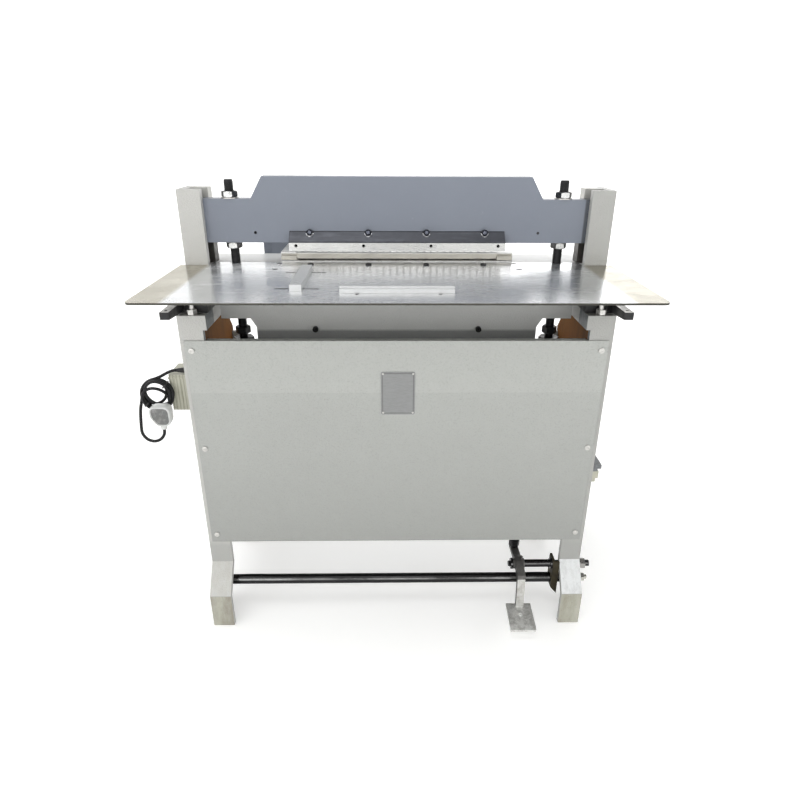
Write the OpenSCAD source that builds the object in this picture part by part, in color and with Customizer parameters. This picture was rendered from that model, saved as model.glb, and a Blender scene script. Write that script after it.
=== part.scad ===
// Floor-standing paper punching machine: two side frames, a ram pulled down by two rods,
// a punch and die set behind the paper table, and a pedal that trips the clutch.
// The origin is on the floor, in the middle of the feet. +X is the operator's right, +Y the back.

/* [Side frames] */
// Width over the two side frames
frame_w = 915; // [880:5:960]
// Depth of the footprint, from toe to heel
frame_d = 424; // [400:4:460]
// Height of the columns
frame_h = 1024; // [1010:2:1050]
// Thickness of the side plates
web_t = 16; // [12:1:18]
// Width of the front legs
leg_w = 51; // [46:1:56]
// Thickness of the plates on the front and the back of the legs
leg_plate_t = 12; // [8:1:14]
// Depth of the front legs
front_leg_d = 52; // [50:2:60]
// Depth of the rear legs
rear_leg_d = 72; // [60:4:90]
// Reach of the toes in front of the legs
toe = 52; // [40:2:60]
// Height of the upright part of the toes
toe_h = 92; // [80:2:100]
// Height at which the toes meet the legs
toe_top = 157; // [145:2:165]
// Height of the arch between the legs
arch_h = 212; // [195:1:225]
// Radius of the arch's corners
arch_r = 50; // [20:5:60]
// Width of the upper columns
column_w = 49; // [46:1:54]
// Thickness of the columns' front plates
column_plate_t = 15; // [12:1:18]
// Depth of the upper part of the side plates
column_d = 86; // [82:2:100]
// Height of the top of the shelves that carry the table arms
shelf_top = 785; // [780:1:794]
// Height of the shelves' boxes
shelf_h = 31.5; // [26:0.5:34]
// Width of the shelves' boxes
shelf_w = 59.5; // [56:0.5:66]

/* [Front cover] */
// Height of the cover's lower edge
cover_z = 218; // [200:2:230]
// Height of the cover
cover_h = 513; // [490:2:520]
// Thickness of the cover's sheet
cover_t = 2; // [1.5:0.5:3]
// Distance from the cover's edge to the frames' outer faces
cover_inset = 8; // [4:1:12]
// Depth of the cover's folded edges
cover_fold = 14; // [10:1:18]

/* [Ram] */
// Distance from the front legs' face back to the rods
ram_setback = 133; // [130:1:138]
// Travel of the ram
stroke = 6.5; // [5:0.5:6.5]
// Thickness of the upper beam
beam_t = 30; // [28:1:32]
// Height of the beam's lower edge
beam_z = 914; // [914:1:918]
// Height of the beam at its shoulders
beam_h = 90; // [86:1:94]
// Rise of the beam's middle above the shoulders
crown_h = 45; // [34:1:52]
// Half width of the raised middle at its top
crown_x = 283; // [270:1:290]
// Half width of the raised middle at the shoulders
crown_foot_x = 309; // [300:1:320]
// Gap between the beam's ends and the side plates
beam_end_gap = 3.5; // [2:0.5:5]
// Sliding clearance of the beam between the columns and the guide posts
slide_gap = 0.3; // [0.2:0.05:0.5]
// Distance of the rods from the middle
rod_x = 355; // [345:1:365]
// Diameter of the pull rods
rod_d = 20; // [18:1:22]
// Rise of the rods above the beam's shoulders
rod_rise = 38; // [34:1:44]
// Height of the rods' lower ends
rod_z = 668; // [660:1:680]
// Clearance of the holes around the rods
rod_clear = 0.2; // [0.1:0.05:0.3]
// Width across flats of the rods' nuts
nut_af = 30; // [27:1:32]
// Height of the rods' nuts
nut_h = 16; // [14:1:18]

/* [Punch set] */
// Half width of the punch bar and its clamp
bar_x = 231; // [226:1:234]
// Height of the punch bar's lower face
bar_z = 900; // [900:0.5:902]
// Height of the clamp's lower face
clamp_z = 917; // [916.5:0.5:919]
// Height of the clamp's upper edge
clamp_top = 938.7; // [936.7:0.5:942.7]
// Reach of the clamp in front of the beam
clamp_reach = 22; // [20:1:26]
// Reach of the punch bar behind the beam's front face
bar_back = 34; // [32:1:38]
// Spacing of the clamp's screws
clamp_pitch = 125; // [110:5:128]
// Diameter of the clamp's screws
clamp_screw_d = 8; // [6:1:8]
// Spacing of the tapped holes in the punch bar
bar_hole_pitch = 144; // [130:2:146]
// Diameter of the tapped holes in the punch bar
bar_hole_d = 6.5; // [5:0.5:7]
// Diameter of the punches
punch_d = 4; // [3:0.5:5]
// Spacing of the punches
punch_pitch = 15; // [10:1:15]
// Number of punches
punch_count = 29; // [9:2:29]
// Distance from the die's front edge back to the punches
punch_margin = 9; // [9:0.5:11]
// Clearance of the punches in the guide plate and the die
punch_clear = 0.1; // [0.05:0.05:0.15]

/* [Die] */
// Half width of the die
die_x = 256; // [254:1:262]
// Depth of the die
die_d = 114; // [106:2:118]
// Height of the die plate's upper face
die_top = 873.4; // [872.4:0.2:874]
// Height of the paper slot
paper_slot = 4.4; // [4.4:0.1:4.8]
// Height of the guide plate's upper face above the die plate
guide_rise = 17.4; // [16.8:0.1:17.6]
// Thickness of the guide plate's ends, over the spacers
guide_plate_t = 3.6; // [3:0.2:4]
// Height of the lower part of the spacers
spacer_h = 9; // [7:0.5:11]
// Width of the spacers at the slot's ends
spacer_w = 34; // [28:1:36]

/* [Bed] */
// Height of the bed's upper face, which carries the table and the die
bed_top = 865; // [862:1:866]
// Thickness of the bed's top plate
bed_plate_t = 16; // [12:1:20]
// Thickness of the bed's front and back plates
bed_wall_t = 12; // [10:1:14]
// Distance from the front legs' face back to the bed
bed_setback = 100; // [98:1:102]
// Depth of the bed
bed_d = 158; // [152:2:166]
// Half width of the bed's front plate
bed_x = 393; // [380:1:396]
// Height of the lower edge of the bed's ears
bed_ear_z = 750; // [730:5:760]
// Height of the lower edge of the bed's middle
bed_z = 660; // [640:5:680]
// Half width of the bed's deep middle
bed_mid_x = 316; // [300:2:330]
// Height of the two bolts in the bed's face
bed_bolt_z = 726; // [715:1:735]
// Distance of those bolts from the middle
bed_bolt_x = 184; // [170:2:190]

/* [Table] */
// Width of the table
table_w = 936; // [930:2:960]
// Reach of the table in front of the legs
table_front = 214; // [200:2:230]
// Distance from the front legs' face back to the table's rear edge
table_back = 135; // [133:0.5:135.5]
// Thickness of the table
table_t = 4; // [3:0.5:6]
// Radius of the table's front corners
table_r = 12; // [6:1:16]
// Half width of the table between the columns
table_neck_x = 404; // [396:1:405]
// Distance of the table's countersunk screws from the middle
table_screw_x = 258; // [240:2:270]
// Width of the guides' slots
slot_w = 6; // [5:0.5:7]
// Clearance of the guides' studs in their slots
stud_clear = 0.3; // [0.2:0.05:0.4]

/* [Paper guides] */
// Width of the side guide
side_guide_w = 22; // [18:1:26]
// Height of the guides
guide_h = 12; // [10:1:14]
// Middle of the side guide, left of the machine's middle
side_guide_x = 188; // [180:1:196]
// Travel of the side guide to each side
side_travel = 36; // [20:2:36]
// Distance of the side guide's front end in front of the legs
side_guide_front = 133; // [125:1:140]
// Length of the side guide
side_guide_l = 178; // [165:1:180]
// Distance from the side guide's ends to its studs
side_stud_end = 20; // [14:1:24]
// Length of the lay bar
lay_bar_l = 208; // [190:2:212]
// Depth of the lay bar
lay_bar_w = 22; // [18:1:24]
// Distance of the lay bar's front face in front of the legs
lay_bar_front = 150; // [148:1:156]
// Travel of the lay bar towards the operator
lay_out = 12; // [6:1:12]
// Travel of the lay bar towards the die
lay_in = 6; // [4:1:8]
// Distance of the lay bar's studs from the middle
lay_stud_x = 75; // [60:1:85]

/* [Table arms] */
// Height of the arms' blocks
arm_h = 26; // [24:1:30]
// Width of the arms' bars
arm_bar_w = 18; // [14:1:20]
// Height of the arms' bars at their front ends
arm_bar_h = 15; // [12:1:18]
// Reach of the arms' bars in front of the legs
arm_reach = 68; // [55:1:75]
// Diameter of the levelling bolts
level_d = 12; // [10:1:14]

/* [Main shaft] */
// Height of the main shaft
shaft_z = 400; // [395:1:410]
// Diameter of the main shaft
shaft_d = 40; // [36:1:44]
// Running clearance of the shaft in its bearings
shaft_clear = 0.05; // [0.02:0.01:0.09]
// Diameter of the eccentrics
ecc_d = 84; // [80:1:90]
// Width of the eccentrics
ecc_w = 34; // [30:1:36]
// Clearance of the yokes round the eccentrics
yoke_clear = 1; // [0.9:0.05:1.6]
// Wall of the yokes
yoke_wall = 20; // [16:1:24]
// Thickness of the yokes
yoke_t = 26; // [22:1:28]
// Diameter of the yokes' shanks
shank_d = 28; // [26:1:30]
// Height of the couplings between shanks and rods
coupling_h = 57; // [50:1:60]
// Height of the lower end of the couplings
coupling_z = 640; // [634:1:640]
// Width across flats of the couplings
coupling_af = 41; // [38:1:44]
// Size of the bearings' square flanges
bearing_flange = 108; // [100:2:110]
// Depth of the bearings
bearing_d = 30; // [26:1:34]

/* [Clutch and flywheel] */
// Middle of the pedal, link rod and clutch ring, right of the machine's middle
pedal_x = 306; // [304:1:308]
// Diameter of the clutch ring
ring_d = 90; // [84:1:94]
// Width of the clutch ring
ring_w = 20; // [18:1:22]
// Height of the lug on the clutch ring
ring_lug = 7; // [6:1:7]
// Diameter of the flywheel
flywheel_d = 230; // [220:2:236]
// Width of the flywheel's rim
flywheel_w = 40; // [36:1:42]
// Middle of the flywheel, right of the machine's middle
flywheel_x = 262; // [258:1:264]
// Depth of the belt grooves
groove_depth = 8; // [6:1:9]
// Width of the belt
belt_w = 24; // [20:1:26]
// Gap between the belt and its pulleys
belt_gap = 0.3; // [0.2:0.05:0.4]
// Thickness of the belt
belt_t = 7; // [5:0.5:8]

/* [Motor] */
// Height of the shelf that carries the motor
drive_shelf_z = 248; // [244:1:252]
// Thickness of that shelf
drive_shelf_t = 8; // [6:1:10]
// Distance of the motor's axis behind the main shaft
motor_back = 162; // [155:1:165]
// Height of the motor's axis
motor_z = 338; // [334:1:342]
// Diameter of the motor
motor_d = 134; // [124:2:138]
// Length of the motor's body
motor_l = 210; // [190:5:230]
// Diameter of the motor's shaft
motor_shaft_d = 19; // [16:1:22]
// Diameter of the motor's pulley
motor_pulley_d = 72; // [66:2:80]

/* [Pedal] */
// Height of the pedal's pivot
pivot_z = 139.5; // [135.5:0.5:143.5]
// Distance from the front legs' face back to the pivot
pivot_back = 7; // [6:1:12]
// Diameter of the pedal's stud
stud_d = 19; // [16:1:20]
// Running clearance of the pedal on its stud
pivot_clear = 0.08; // [0.03:0.01:0.1]
// Diameter of the pedal's hub
hub_d = 26; // [25:1:28]
// Length of the pedal's hub
hub_l = 28; // [26:1:32]
// Width of the pedal's bar
lever_w = 19; // [16:1:20]
// Thickness of the pedal's bar
lever_t = 12; // [10:1:13]
// Height of the bar's rear end above the pivot
lever_rise = 2; // [0:1:8]
// Distance from the pivot back to the link rod
link_arm = 62; // [58:1:64]
// Travel of the pedal in degrees
pedal_travel = 8; // [5:1:8]
// Width of the foot pad
pad_w = 62; // [56:1:70]
// Length of the foot pad
pad_l = 78; // [70:1:84]
// Thickness of the foot pad
pad_t = 6; // [5:0.5:8]
// Height of the foot pad's rear edge
pad_z = 52; // [50:1:60]
// Diameter of the link rod
link_d = 12; // [10:1:14]
// Width across flats of the link rod's nuts
link_nut_af = 24; // [20:1:26]
// Distance from the trip lever's pivot to the link rod
trip_arm = 36; // [34:1:40]
// Thickness of the trip lever
trip_t = 14; // [12:1:16]
// Diameter of the trip lever's pin
trip_pin_d = 12; // [10:1:14]
// Diameter of the return spring's wire
spring_wire = 2.4; // [1.6:0.2:2.6]
// Number of turns of the return spring
spring_turns = 6; // [4:1:7]
// Diameter of the tie bar
tie_d = 25; // [22:1:28]
// Height of the tie bar
tie_z = 93.5; // [90.5:0.5:96.5]
// Distance from the front legs' face back to the tie bar
tie_back = 10; // [8:1:16]

/* [Electrical boxes] */
// Reach of the junction box from the left side plate
jbox_w = 41.5; // [38:0.5:42]
// Depth of the junction box
jbox_d = 70; // [60:2:76]
// Height of the junction box
jbox_h = 84; // [78:1:84]
// Height of the junction box's lower face
jbox_z = 564; // [556:1:564]
// Distance from the front legs' face back to the electrical boxes
ebox_setback = 16; // [14:1:30]
// Reach of the switch box from the right side plate
sbox_w = 20; // [18:1:24]
// Depth of the switch box
sbox_d = 52; // [46:1:60]
// Height of the switch box
sbox_h = 45; // [43:1:52]
// Height of the switch box's lower face
sbox_z = 372.5; // [366.5:1:380.5]
// Diameter of the push button
button_d = 13; // [11:1:14]
// Travel of the push button
button_travel = 3; // [2:0.5:4]

/* [Mains lead] */
// Diameter of the mains lead
cord_d = 6.6; // [6:0.1:7.2]
// Diameter of the coil at the middle of its turns
coil_d = 62; // [60:1:66]

/* [Hidden] */
$fn = 64;
eps = 0.01;

// Shared places
half_w = frame_w/2;
shoulder_z = beam_z + beam_h;            // shoulders of the beam
beam_top = shoulder_z + crown_h;
rod_top = shoulder_z + rod_rise;
web_x = half_w - web_t;                  // inner faces of the side plates
front_y = toe - frame_d/2;               // front face of the legs
back_y = frame_d/2;
ram_y = front_y + ram_setback;           // middle plane of the ram, its rods and the main shaft
beam_front = ram_y - beam_t/2;
beam_back = ram_y + beam_t/2;
column_y = beam_front - slide_gap - column_plate_t;
post_y = beam_back + slide_gap;
column_x = half_w - column_w;
leg_x = half_w - leg_w;
shelf_x = half_w - shelf_w;
heel_z = 650;
rear_knee_z = 860;
table_top = bed_top + table_t;
table_y = front_y - table_front;
die_y = front_y + table_back + 1;
punch_y = die_y + punch_margin;
guide_plate_top = die_top + guide_rise;
punch_tip = die_top + paper_slot + 0.4;
ecc_offset = stroke/2;
stud_hole = slot_w/2;
guide_stud_d = slot_w - 2*stud_clear;
side_front = front_y - side_guide_front;
side_stud_y = [side_front + side_stud_end, side_front + side_guide_l - side_stud_end];
lay_front = front_y - lay_bar_front;
lay_stud_y = lay_front + lay_bar_w/2;
pivot_y = front_y + pivot_back;
link_y = pivot_y + link_arm;
motor_y = ram_y + motor_back;
link_lift = link_arm*sin(pedal_travel);
guide_lift = 0.2;                        // oil film under the paper guides

// A part and its mirror image on the other side of the machine
module both_sides() {
    children();
    mirror([1, 0, 0]) children();
}

// A rod along X that starts at the given point
module x_rod(p, d, l) translate(p) rotate([0, 90, 0]) cylinder(d = d, h = l);

// A plate whose outline lies in the YZ plane, from x to x + t
module side_plate(x, t) translate([x, 0, 0]) rotate([90, 0, 90]) linear_extrude(t) children();

// A plate whose outline lies in the XZ plane, from y to y + t
module front_plate(y, t) translate([0, y + t, 0]) rotate([90, 0, 0]) linear_extrude(t) children();

// A hexagon of the given width across flats
module hexagon(af) circle(d = af/cos(30), $fn = 6);

// A hexagon nut with its bore, standing on the origin
module nut(af, h, bore) {
    difference() {
        linear_extrude(h) hexagon(af);
        translate([0, 0, -1]) cylinder(d = bore, h = h + 2);
    }
}

// A round rectangle with its corner at the origin
module round_rect(size, r) {
    translate([r, 0]) square([size.x - 2*r, size.y]);
    translate([0, r]) square([size.x, size.y - 2*r]);
    for (x = [r, size.x - r], y = [r, size.y - r]) translate([x, y]) circle(r);
}

// A slot with round ends, of width w, from a to b
module slot(a, b, w) {
    d = b - a;
    for (p = [a, b]) translate(p) circle(d = w);
    translate((a + b)/2) rotate(atan2(d.y, d.x)) square([norm(d), w], center = true);
}

// ---- Side frames ----

module frame_outline() {
    difference() {
        polygon([
            [front_y - toe, 0], [front_y - toe, toe_h], [front_y, toe_top], [front_y, shelf_top],
            [column_y, shelf_top], [column_y, frame_h], [column_y + column_d, frame_h],
            [column_y + column_d, rear_knee_z], [back_y, heel_z], [back_y, 0]
        ]);
        arch_outline();
    }
}

module arch_outline() {
    y0 = front_y + front_leg_d;
    y1 = back_y - rear_leg_d;
    translate([y0, -1]) square([y1 - y0, arch_h - arch_r + 1]);
    translate([y0 + arch_r, -1]) square([y1 - y0 - 2*arch_r, arch_h + 1]);
    for (y = [y0 + arch_r, y1 - arch_r]) translate([y, arch_h - arch_r]) circle(arch_r);
}

// The plate on the front of a leg follows the toe
module leg_plate_outline() {
    t = leg_plate_t;
    polygon([
        [front_y - toe, 0], [front_y - toe, toe_h], [front_y, toe_top],
        [front_y, shelf_top - shelf_h], [front_y + t, shelf_top - shelf_h],
        [front_y + t, toe_top - t/2], [front_y - toe + t, toe_h - t/2], [front_y - toe + t, 0]
    ]);
}

module side_frame() {
    color("gainsboro") difference() {
        union() {
            side_plate(web_x, web_t) frame_outline();
            side_plate(leg_x, leg_w - web_t) leg_plate_outline();
            translate([leg_x, back_y - leg_plate_t, 0])
                cube([leg_w - web_t, leg_plate_t, heel_z - leg_plate_t]);
            translate([leg_x, back_y - rear_leg_d, 0])
                cube([leg_w - web_t, rear_leg_d - leg_plate_t, leg_plate_t]);
            shelf();
            translate([column_x, column_y, shelf_top])
                cube([column_w - web_t, column_plate_t, frame_h - shelf_top]);
        }
        for (z = cover_screw_z)
            translate([cover_screw_x, front_y - 1, z]) rotate([-90, 0, 0])
                cylinder(d = cover_screw_d, h = leg_plate_t + 2);
    }
}

// A shelf is a box welded to the top of the leg, and carries a table arm
module shelf() {
    t = 6;
    l = column_y + column_plate_t - front_y;
    translate([shelf_x, front_y, shelf_top - shelf_h]) difference() {
        cube([shelf_w - web_t, l, shelf_h]);
        translate([t, t, t]) cube([shelf_w - web_t, l, shelf_h - 2*t]);
        translate([level_x - shelf_x, level_y - front_y, shelf_h - t - 1])
            cylinder(d = level_d + 0.2, h = t + 2);
    }
}

module left_side_frame() mirror([1, 0, 0]) side_frame();

// The pedal's stud passes through the right leg
module right_side_frame() color("gainsboro") difference() {
    side_frame();
    x_rod([leg_x - 1, pivot_y, pivot_z], stud_d - 2.9, leg_w + 2);
}

// ---- Front cover ----

cover_x = half_w - cover_inset;
cover_screw_x = half_w - 22;
cover_screw_d = 5;
cover_screw_z = [cover_z + 22, cover_z + cover_h/2, cover_z + cover_h - 22];

module front_cover() {
    inner_x = leg_x - 3;
    color("gainsboro") difference() {
        union() {
            translate([-cover_x, front_y - cover_t, cover_z]) cube([2*cover_x, cover_t, cover_h]);
            for (z = [cover_z, cover_z + cover_h - cover_t])
                translate([-inner_x, front_y - eps, z]) cube([2*inner_x, cover_fold, cover_t]);
        }
        both_sides() for (z = cover_screw_z)
            translate([cover_screw_x, front_y - cover_t - 1, z]) rotate([-90, 0, 0])
                cylinder(d = cover_screw_d, h = cover_t + 2);
    }
}

// Pan head screws hold the cover to the legs
module cover_screws() {
    head_d = 11;
    head_h = 3;
    color("silver") both_sides() for (z = cover_screw_z)
        translate([cover_screw_x, front_y - cover_t, z]) rotate([90, 0, 0]) {
            cylinder(d = head_d, h = head_h*0.6);
            translate([0, 0, head_h*0.6]) cylinder(d1 = head_d, d2 = head_d*0.7, h = head_h*0.4);
            translate([0, 0, -cover_t - leg_plate_t]) cylinder(
                d = cover_screw_d - 0.1, h = cover_t + leg_plate_t + eps
            );
        }
}

// ---- Bed ----

bed_y = front_y + bed_setback;
bed_back = bed_y + bed_d;
rod_hole_d = rod_d + 6;
chip_slot_w = 14;

module bed_front_outline() {
    polygon([
        [-bed_x, bed_ear_z], [-bed_mid_x - 12, bed_ear_z], [-bed_mid_x, bed_ear_z - 20],
        [-bed_mid_x, bed_z], [bed_mid_x, bed_z], [bed_mid_x, bed_ear_z - 20],
        [bed_mid_x + 12, bed_ear_z], [bed_x, bed_ear_z],
        [bed_x, bed_top - bed_plate_t], [-bed_x, bed_top - bed_plate_t]
    ]);
}

module bed() {
    behind_y = column_y + column_plate_t + slide_gap;
    color("gainsboro") difference() {
        union() {
            translate([-bed_x, bed_y, bed_top - bed_plate_t])
                cube([2*bed_x, bed_d, bed_plate_t]);
            translate([-web_x, behind_y, bed_top - bed_plate_t])
                cube([2*web_x, bed_back - behind_y, bed_plate_t]);
            front_plate(bed_y, bed_wall_t) bed_front_outline();
            front_plate(bed_back - bed_wall_t, bed_wall_t)
                translate([-bed_x, bed_ear_z]) square([2*bed_x, bed_top - bed_plate_t - bed_ear_z]);
            both_sides() translate([bed_mid_x - 40, bed_y + bed_wall_t - eps, bed_ear_z])
                cube([bed_wall_t, bed_d - 2*bed_wall_t + 2*eps, bed_top - bed_plate_t - bed_ear_z]);
            both_sides() translate([web_x - bed_wall_t, behind_y, bed_ear_z + 20])
                cube([bed_wall_t, bed_back - behind_y, bed_top - bed_plate_t - bed_ear_z - 20]);
        }
        both_sides() translate([rod_x, ram_y, bed_z]) cylinder(d = rod_hole_d, h = bed_top);
        translate([-bar_x, punch_y - chip_slot_w/2, bed_top - bed_plate_t - 1])
            cube([2*bar_x, chip_slot_w, bed_plate_t + 2]);
        both_sides() translate([bed_bolt_x, bed_y - 1, bed_bolt_z]) rotate([-90, 0, 0])
            cylinder(d = bed_bolt_d + 0.2, h = bed_wall_t + 2);
    }
}

bed_bolt_d = 8;

// Cap screws through the bed's face, with nuts behind it
module bed_bolts() {
    nut_t = 6.5;
    color("dimgray") both_sides()
        translate([bed_bolt_x, bed_y, bed_bolt_z]) rotate([90, 0, 0]) {
            cap_screw(bed_bolt_d, bed_wall_t + 10);
            translate([0, 0, -bed_wall_t - nut_t]) nut(13, nut_t, bed_bolt_d);
        }
}

// A folded plate on the back of the bed, left of the die
module rear_bracket() {
    t = 6;
    step = 12;
    lip = 20;
    w = 97;
    x0 = -bar_x - 67;
    z0 = bed_ear_z + 40;
    z1 = beam_z + 16;
    screw_z = [18, 44];
    screw_d = 9;
    color("slategray") translate([x0, bed_back, z0]) difference() {
        union() {
            cube([w, t, z1 - z0]);
            cube([t, step, z1 - z0]);
            translate([-lip, step - t, 0]) cube([lip + t, t, z1 - z0]);
        }
        for (z = screw_z) translate([w - 25, -1, z]) rotate([-90, 0, 0])
            cylinder(d = screw_d, h = t + 2);
    }
}

// ---- Table and its arms ----

table_screw_y = [front_y + 60, front_y + 121];
sunk_head_d = 13;
socket_x = [for (i = [-1.5:1:1.5]) i*clamp_pitch];
socket_y = bed_y + bed_wall_t/2 - 5;
screw_hole_d = 6.4;

module table_outline() {
    ear_y = column_y - 0.5;
    difference() {
        union() {
            translate([-table_w/2, table_y]) round_rect([table_w, ear_y - table_y], table_r);
            translate([-table_w/2, ear_y - 20]) square([table_w, 20]);
            translate([-table_neck_x, ear_y - 1])
                square([2*table_neck_x, front_y + table_back - ear_y + 1]);
        }
        for (x = [-rod_x, rod_x]) {
            translate([x, ram_y]) circle(d = rod_hole_d);
            translate([x - rod_hole_d/2, ram_y]) square([rod_hole_d, rod_hole_d]);
        }
        for (y = side_stud_y)
            slot([-side_guide_x - side_travel - 3, y], [-side_guide_x + side_travel + 3, y], slot_w);
        for (x = [-lay_stud_x, lay_stud_x])
            slot([x, lay_stud_y - lay_out - 3], [x, lay_stud_y + lay_in + 1], slot_w);
        for (x = [-table_screw_x, table_screw_x], y = table_screw_y)
            translate([x, y]) circle(d = screw_hole_d);
        for (x = socket_x) translate([x, socket_y]) circle(d = screw_hole_d);
    }
}

module table() color("silver") difference() {
    translate([0, 0, bed_top]) linear_extrude(table_t) table_outline();
    for (x = [-table_screw_x, table_screw_x], y = table_screw_y) translate([x, y, table_top - 3])
        cylinder(d1 = screw_hole_d, d2 = sunk_head_d + 0.3, h = 3.02);
}

// Countersunk screws near the die and socket screws along the bed
module table_screws() {
    color("dimgray") {
        for (x = [-table_screw_x, table_screw_x], y = table_screw_y)
            translate([x, y, bed_top]) difference() {
                union() {
                    translate([0, 0, 0.2]) cylinder(d = screw_hole_d - 0.4, h = table_t - 1.2);
                    translate([0, 0, table_t - 3]) cylinder(d1 = screw_hole_d - 0.4,
                        d2 = screw_hole_d - 0.4 + (sunk_head_d + 0.3 - screw_hole_d)*2.8/3, h = 2.8);
                }
                translate([0, 0, table_t - 2]) cylinder(d = 4.6, h = 3, $fn = 6);
            }
        for (x = socket_x) translate([x, socket_y, bed_top]) {
            cylinder(d = screw_hole_d - 0.1, h = table_t + eps);
            translate([0, 0, table_t]) difference() {
                cylinder(d = 13, h = 3.8);
                translate([0, 0, 1.2]) cylinder(d = 6.9, h = 4, $fn = 6);
            }
        }
    }
}

arm_top = shelf_top + arm_h;
level_x = half_w - 29.5;
level_y = front_y + 12;

// A block on the shelf, with a tapered bar that reaches forward under the table
module table_arm() {
    block_y = level_y + 11;
    bar_x = half_w - 10;
    color("dimgray") difference() {
        union() {
            translate([shelf_x, block_y, shelf_top])
                cube([shelf_w, column_y - block_y - 0.5, arm_h]);
            side_plate(bar_x, arm_bar_w) polygon([
                [front_y - arm_reach, arm_top - arm_bar_h], [front_y - arm_reach, arm_top],
                [block_y + 20, arm_top], [block_y + 20, shelf_top + 4],
                [front_y - 11, shelf_top + 6.5]
            ]);
        }
        translate([bar_x + arm_bar_w/2, front_y - arm_reach + 14, shelf_top])
            cylinder(d = 6, h = arm_h + 2);
    }
}

module left_table_arm() mirror([1, 0, 0]) table_arm();
module right_table_arm() table_arm();

// Levelling bolts stand in the shelves, with lock nuts, and hold up the front of the table
module levelling_bolts() {
    lift = bed_top - shelf_top;
    color("silver") both_sides() translate([level_x, level_y, shelf_top]) {
        translate([0, 0, -12]) cylinder(d = level_d, h = lift + 12);
        nut(19, 11, level_d + 0.1);
        translate([0, 0, lift - 8]) nut(19, 8, level_d + 0.1);
    }
}

// Square posts behind the beam's ends guide it
module guide_posts() {
    post_t = 31.5;
    post_x = column_x - 4;
    color("dimgray") both_sides() translate([post_x, post_y, bed_top])
        cube([web_x - post_x, post_t, frame_h - bed_top]);
}

// ---- Ram ----

module beam_outline() {
    end_x = web_x - beam_end_gap;
    polygon([
        [-end_x, beam_z], [end_x, beam_z], [end_x, shoulder_z], [crown_foot_x, shoulder_z],
        [crown_x, beam_top], [-crown_x, beam_top], [-crown_foot_x, shoulder_z],
        [-end_x, shoulder_z]
    ]);
}

module upper_beam() {
    color("lightslategray") difference() {
        front_plate(beam_front, beam_t) beam_outline();
        both_sides() translate([rod_x, ram_y, beam_z - 1])
            cylinder(d = rod_d + 2*rod_clear, h = shoulder_z - beam_z + 2);
        translate([5 - crown_foot_x, beam_front - 1, beam_z + 21]) rotate([-90, 0, 0])
            cylinder(d = 6, h = 12);
        for (x = clamp_x) translate([x, beam_front - 1, clamp_screw_z]) rotate([-90, 0, 0])
            cylinder(d = clamp_screw_d + 0.1, h = 21);
    }
}

clamp_x = [for (i = [-1.5:1:1.5]) i*clamp_pitch];
clamp_screw_z = clamp_top - 1.7;
clamp_seat = 4;                          // clamp left behind the screws' heads

// The clamp is a wedge in front of the beam
module punch_clamp() {
    color("dimgray") difference() {
        side_plate(-bar_x, 2*bar_x) polygon([
            [beam_front, clamp_z], [beam_front - clamp_reach, clamp_z],
            [beam_front - clamp_reach, clamp_z + 3], [beam_front - 1, clamp_top],
            [beam_front, clamp_top]
        ]);
        for (x = clamp_x) translate([x, beam_front - clamp_seat, clamp_screw_z]) rotate([90, 0, 0]) {
            cylinder(d = clamp_screw_d*2 - 1, h = clamp_reach);
            translate([0, 0, -clamp_seat - 1]) cylinder(d = clamp_screw_d + 0.4, h = clamp_seat + 2);
        }
    }
}

// The punch bar reaches from under the clamp to under the beam
module punch_bar() {
    color("silver") difference() {
        side_plate(-bar_x, 2*bar_x) polygon([
            [beam_front - clamp_reach, bar_z], [beam_front - clamp_reach, clamp_z],
            [beam_front, clamp_z], [beam_front, beam_z],
            [beam_front + bar_back, beam_z], [beam_front + bar_back, bar_z]
        ]);
        for (i = [-1.5:1:1.5])
            translate([i*bar_hole_pitch, beam_front - clamp_reach - 1, clamp_z - 6])
                rotate([-90, 0, 0]) cylinder(d = bar_hole_d, h = 13);
    }
}

punch_x = [for (i = [0:punch_count - 1]) (i - (punch_count - 1)/2)*punch_pitch];

// A row of round punches with shoulders under the punch bar
module punches() {
    shoulder_h = 2;
    color("gainsboro") for (x = punch_x) translate([x, punch_y, 0]) {
        translate([0, 0, punch_tip]) cylinder(d = punch_d, h = bar_z - punch_tip, $fn = 24);
        translate([0, 0, bar_z - shoulder_h]) cylinder(d = punch_d + 2, h = shoulder_h, $fn = 24);
    }
}

// Cap screws hold the clamp against the beam
module clamp_screws() {
    color("darkslategray") for (x = clamp_x)
        translate([x, beam_front - clamp_seat, clamp_screw_z]) rotate([90, 0, 0])
            cap_screw(clamp_screw_d, 22);
}

// A socket head cap screw along +Z, with the seat of its head at the origin
module cap_screw(d, l) {
    difference() {
        cylinder(d = 1.6*d, h = d);
        translate([0, 0, d/2]) cylinder(d = 0.86*d, h = d, $fn = 6);
    }
    translate([0, 0, -l]) cylinder(d = d, h = l + eps);
}

// ---- Punch and die set ----

module punch_holes(z, h) {
    for (x = punch_x) translate([x, punch_y, z]) cylinder(d = punch_d + 2*punch_clear, h = h, $fn = 24);
}

module die_plate() {
    relief_d = punch_d + 2.4;
    land = 4;
    chamfer = 2;
    color("silver") difference() {
        side_plate(-die_x, 2*die_x) polygon([
            [die_y, bed_top], [die_y, die_top - chamfer], [die_y + chamfer, die_top],
            [die_y + die_d, die_top], [die_y + die_d, bed_top]
        ]);
        punch_holes(bed_top - 1, die_top - bed_top + 2);
        for (x = punch_x) translate([x, punch_y, bed_top - 1])
            cylinder(d = relief_d, h = die_top - land - bed_top + 1, $fn = 24);
    }
}

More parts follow.
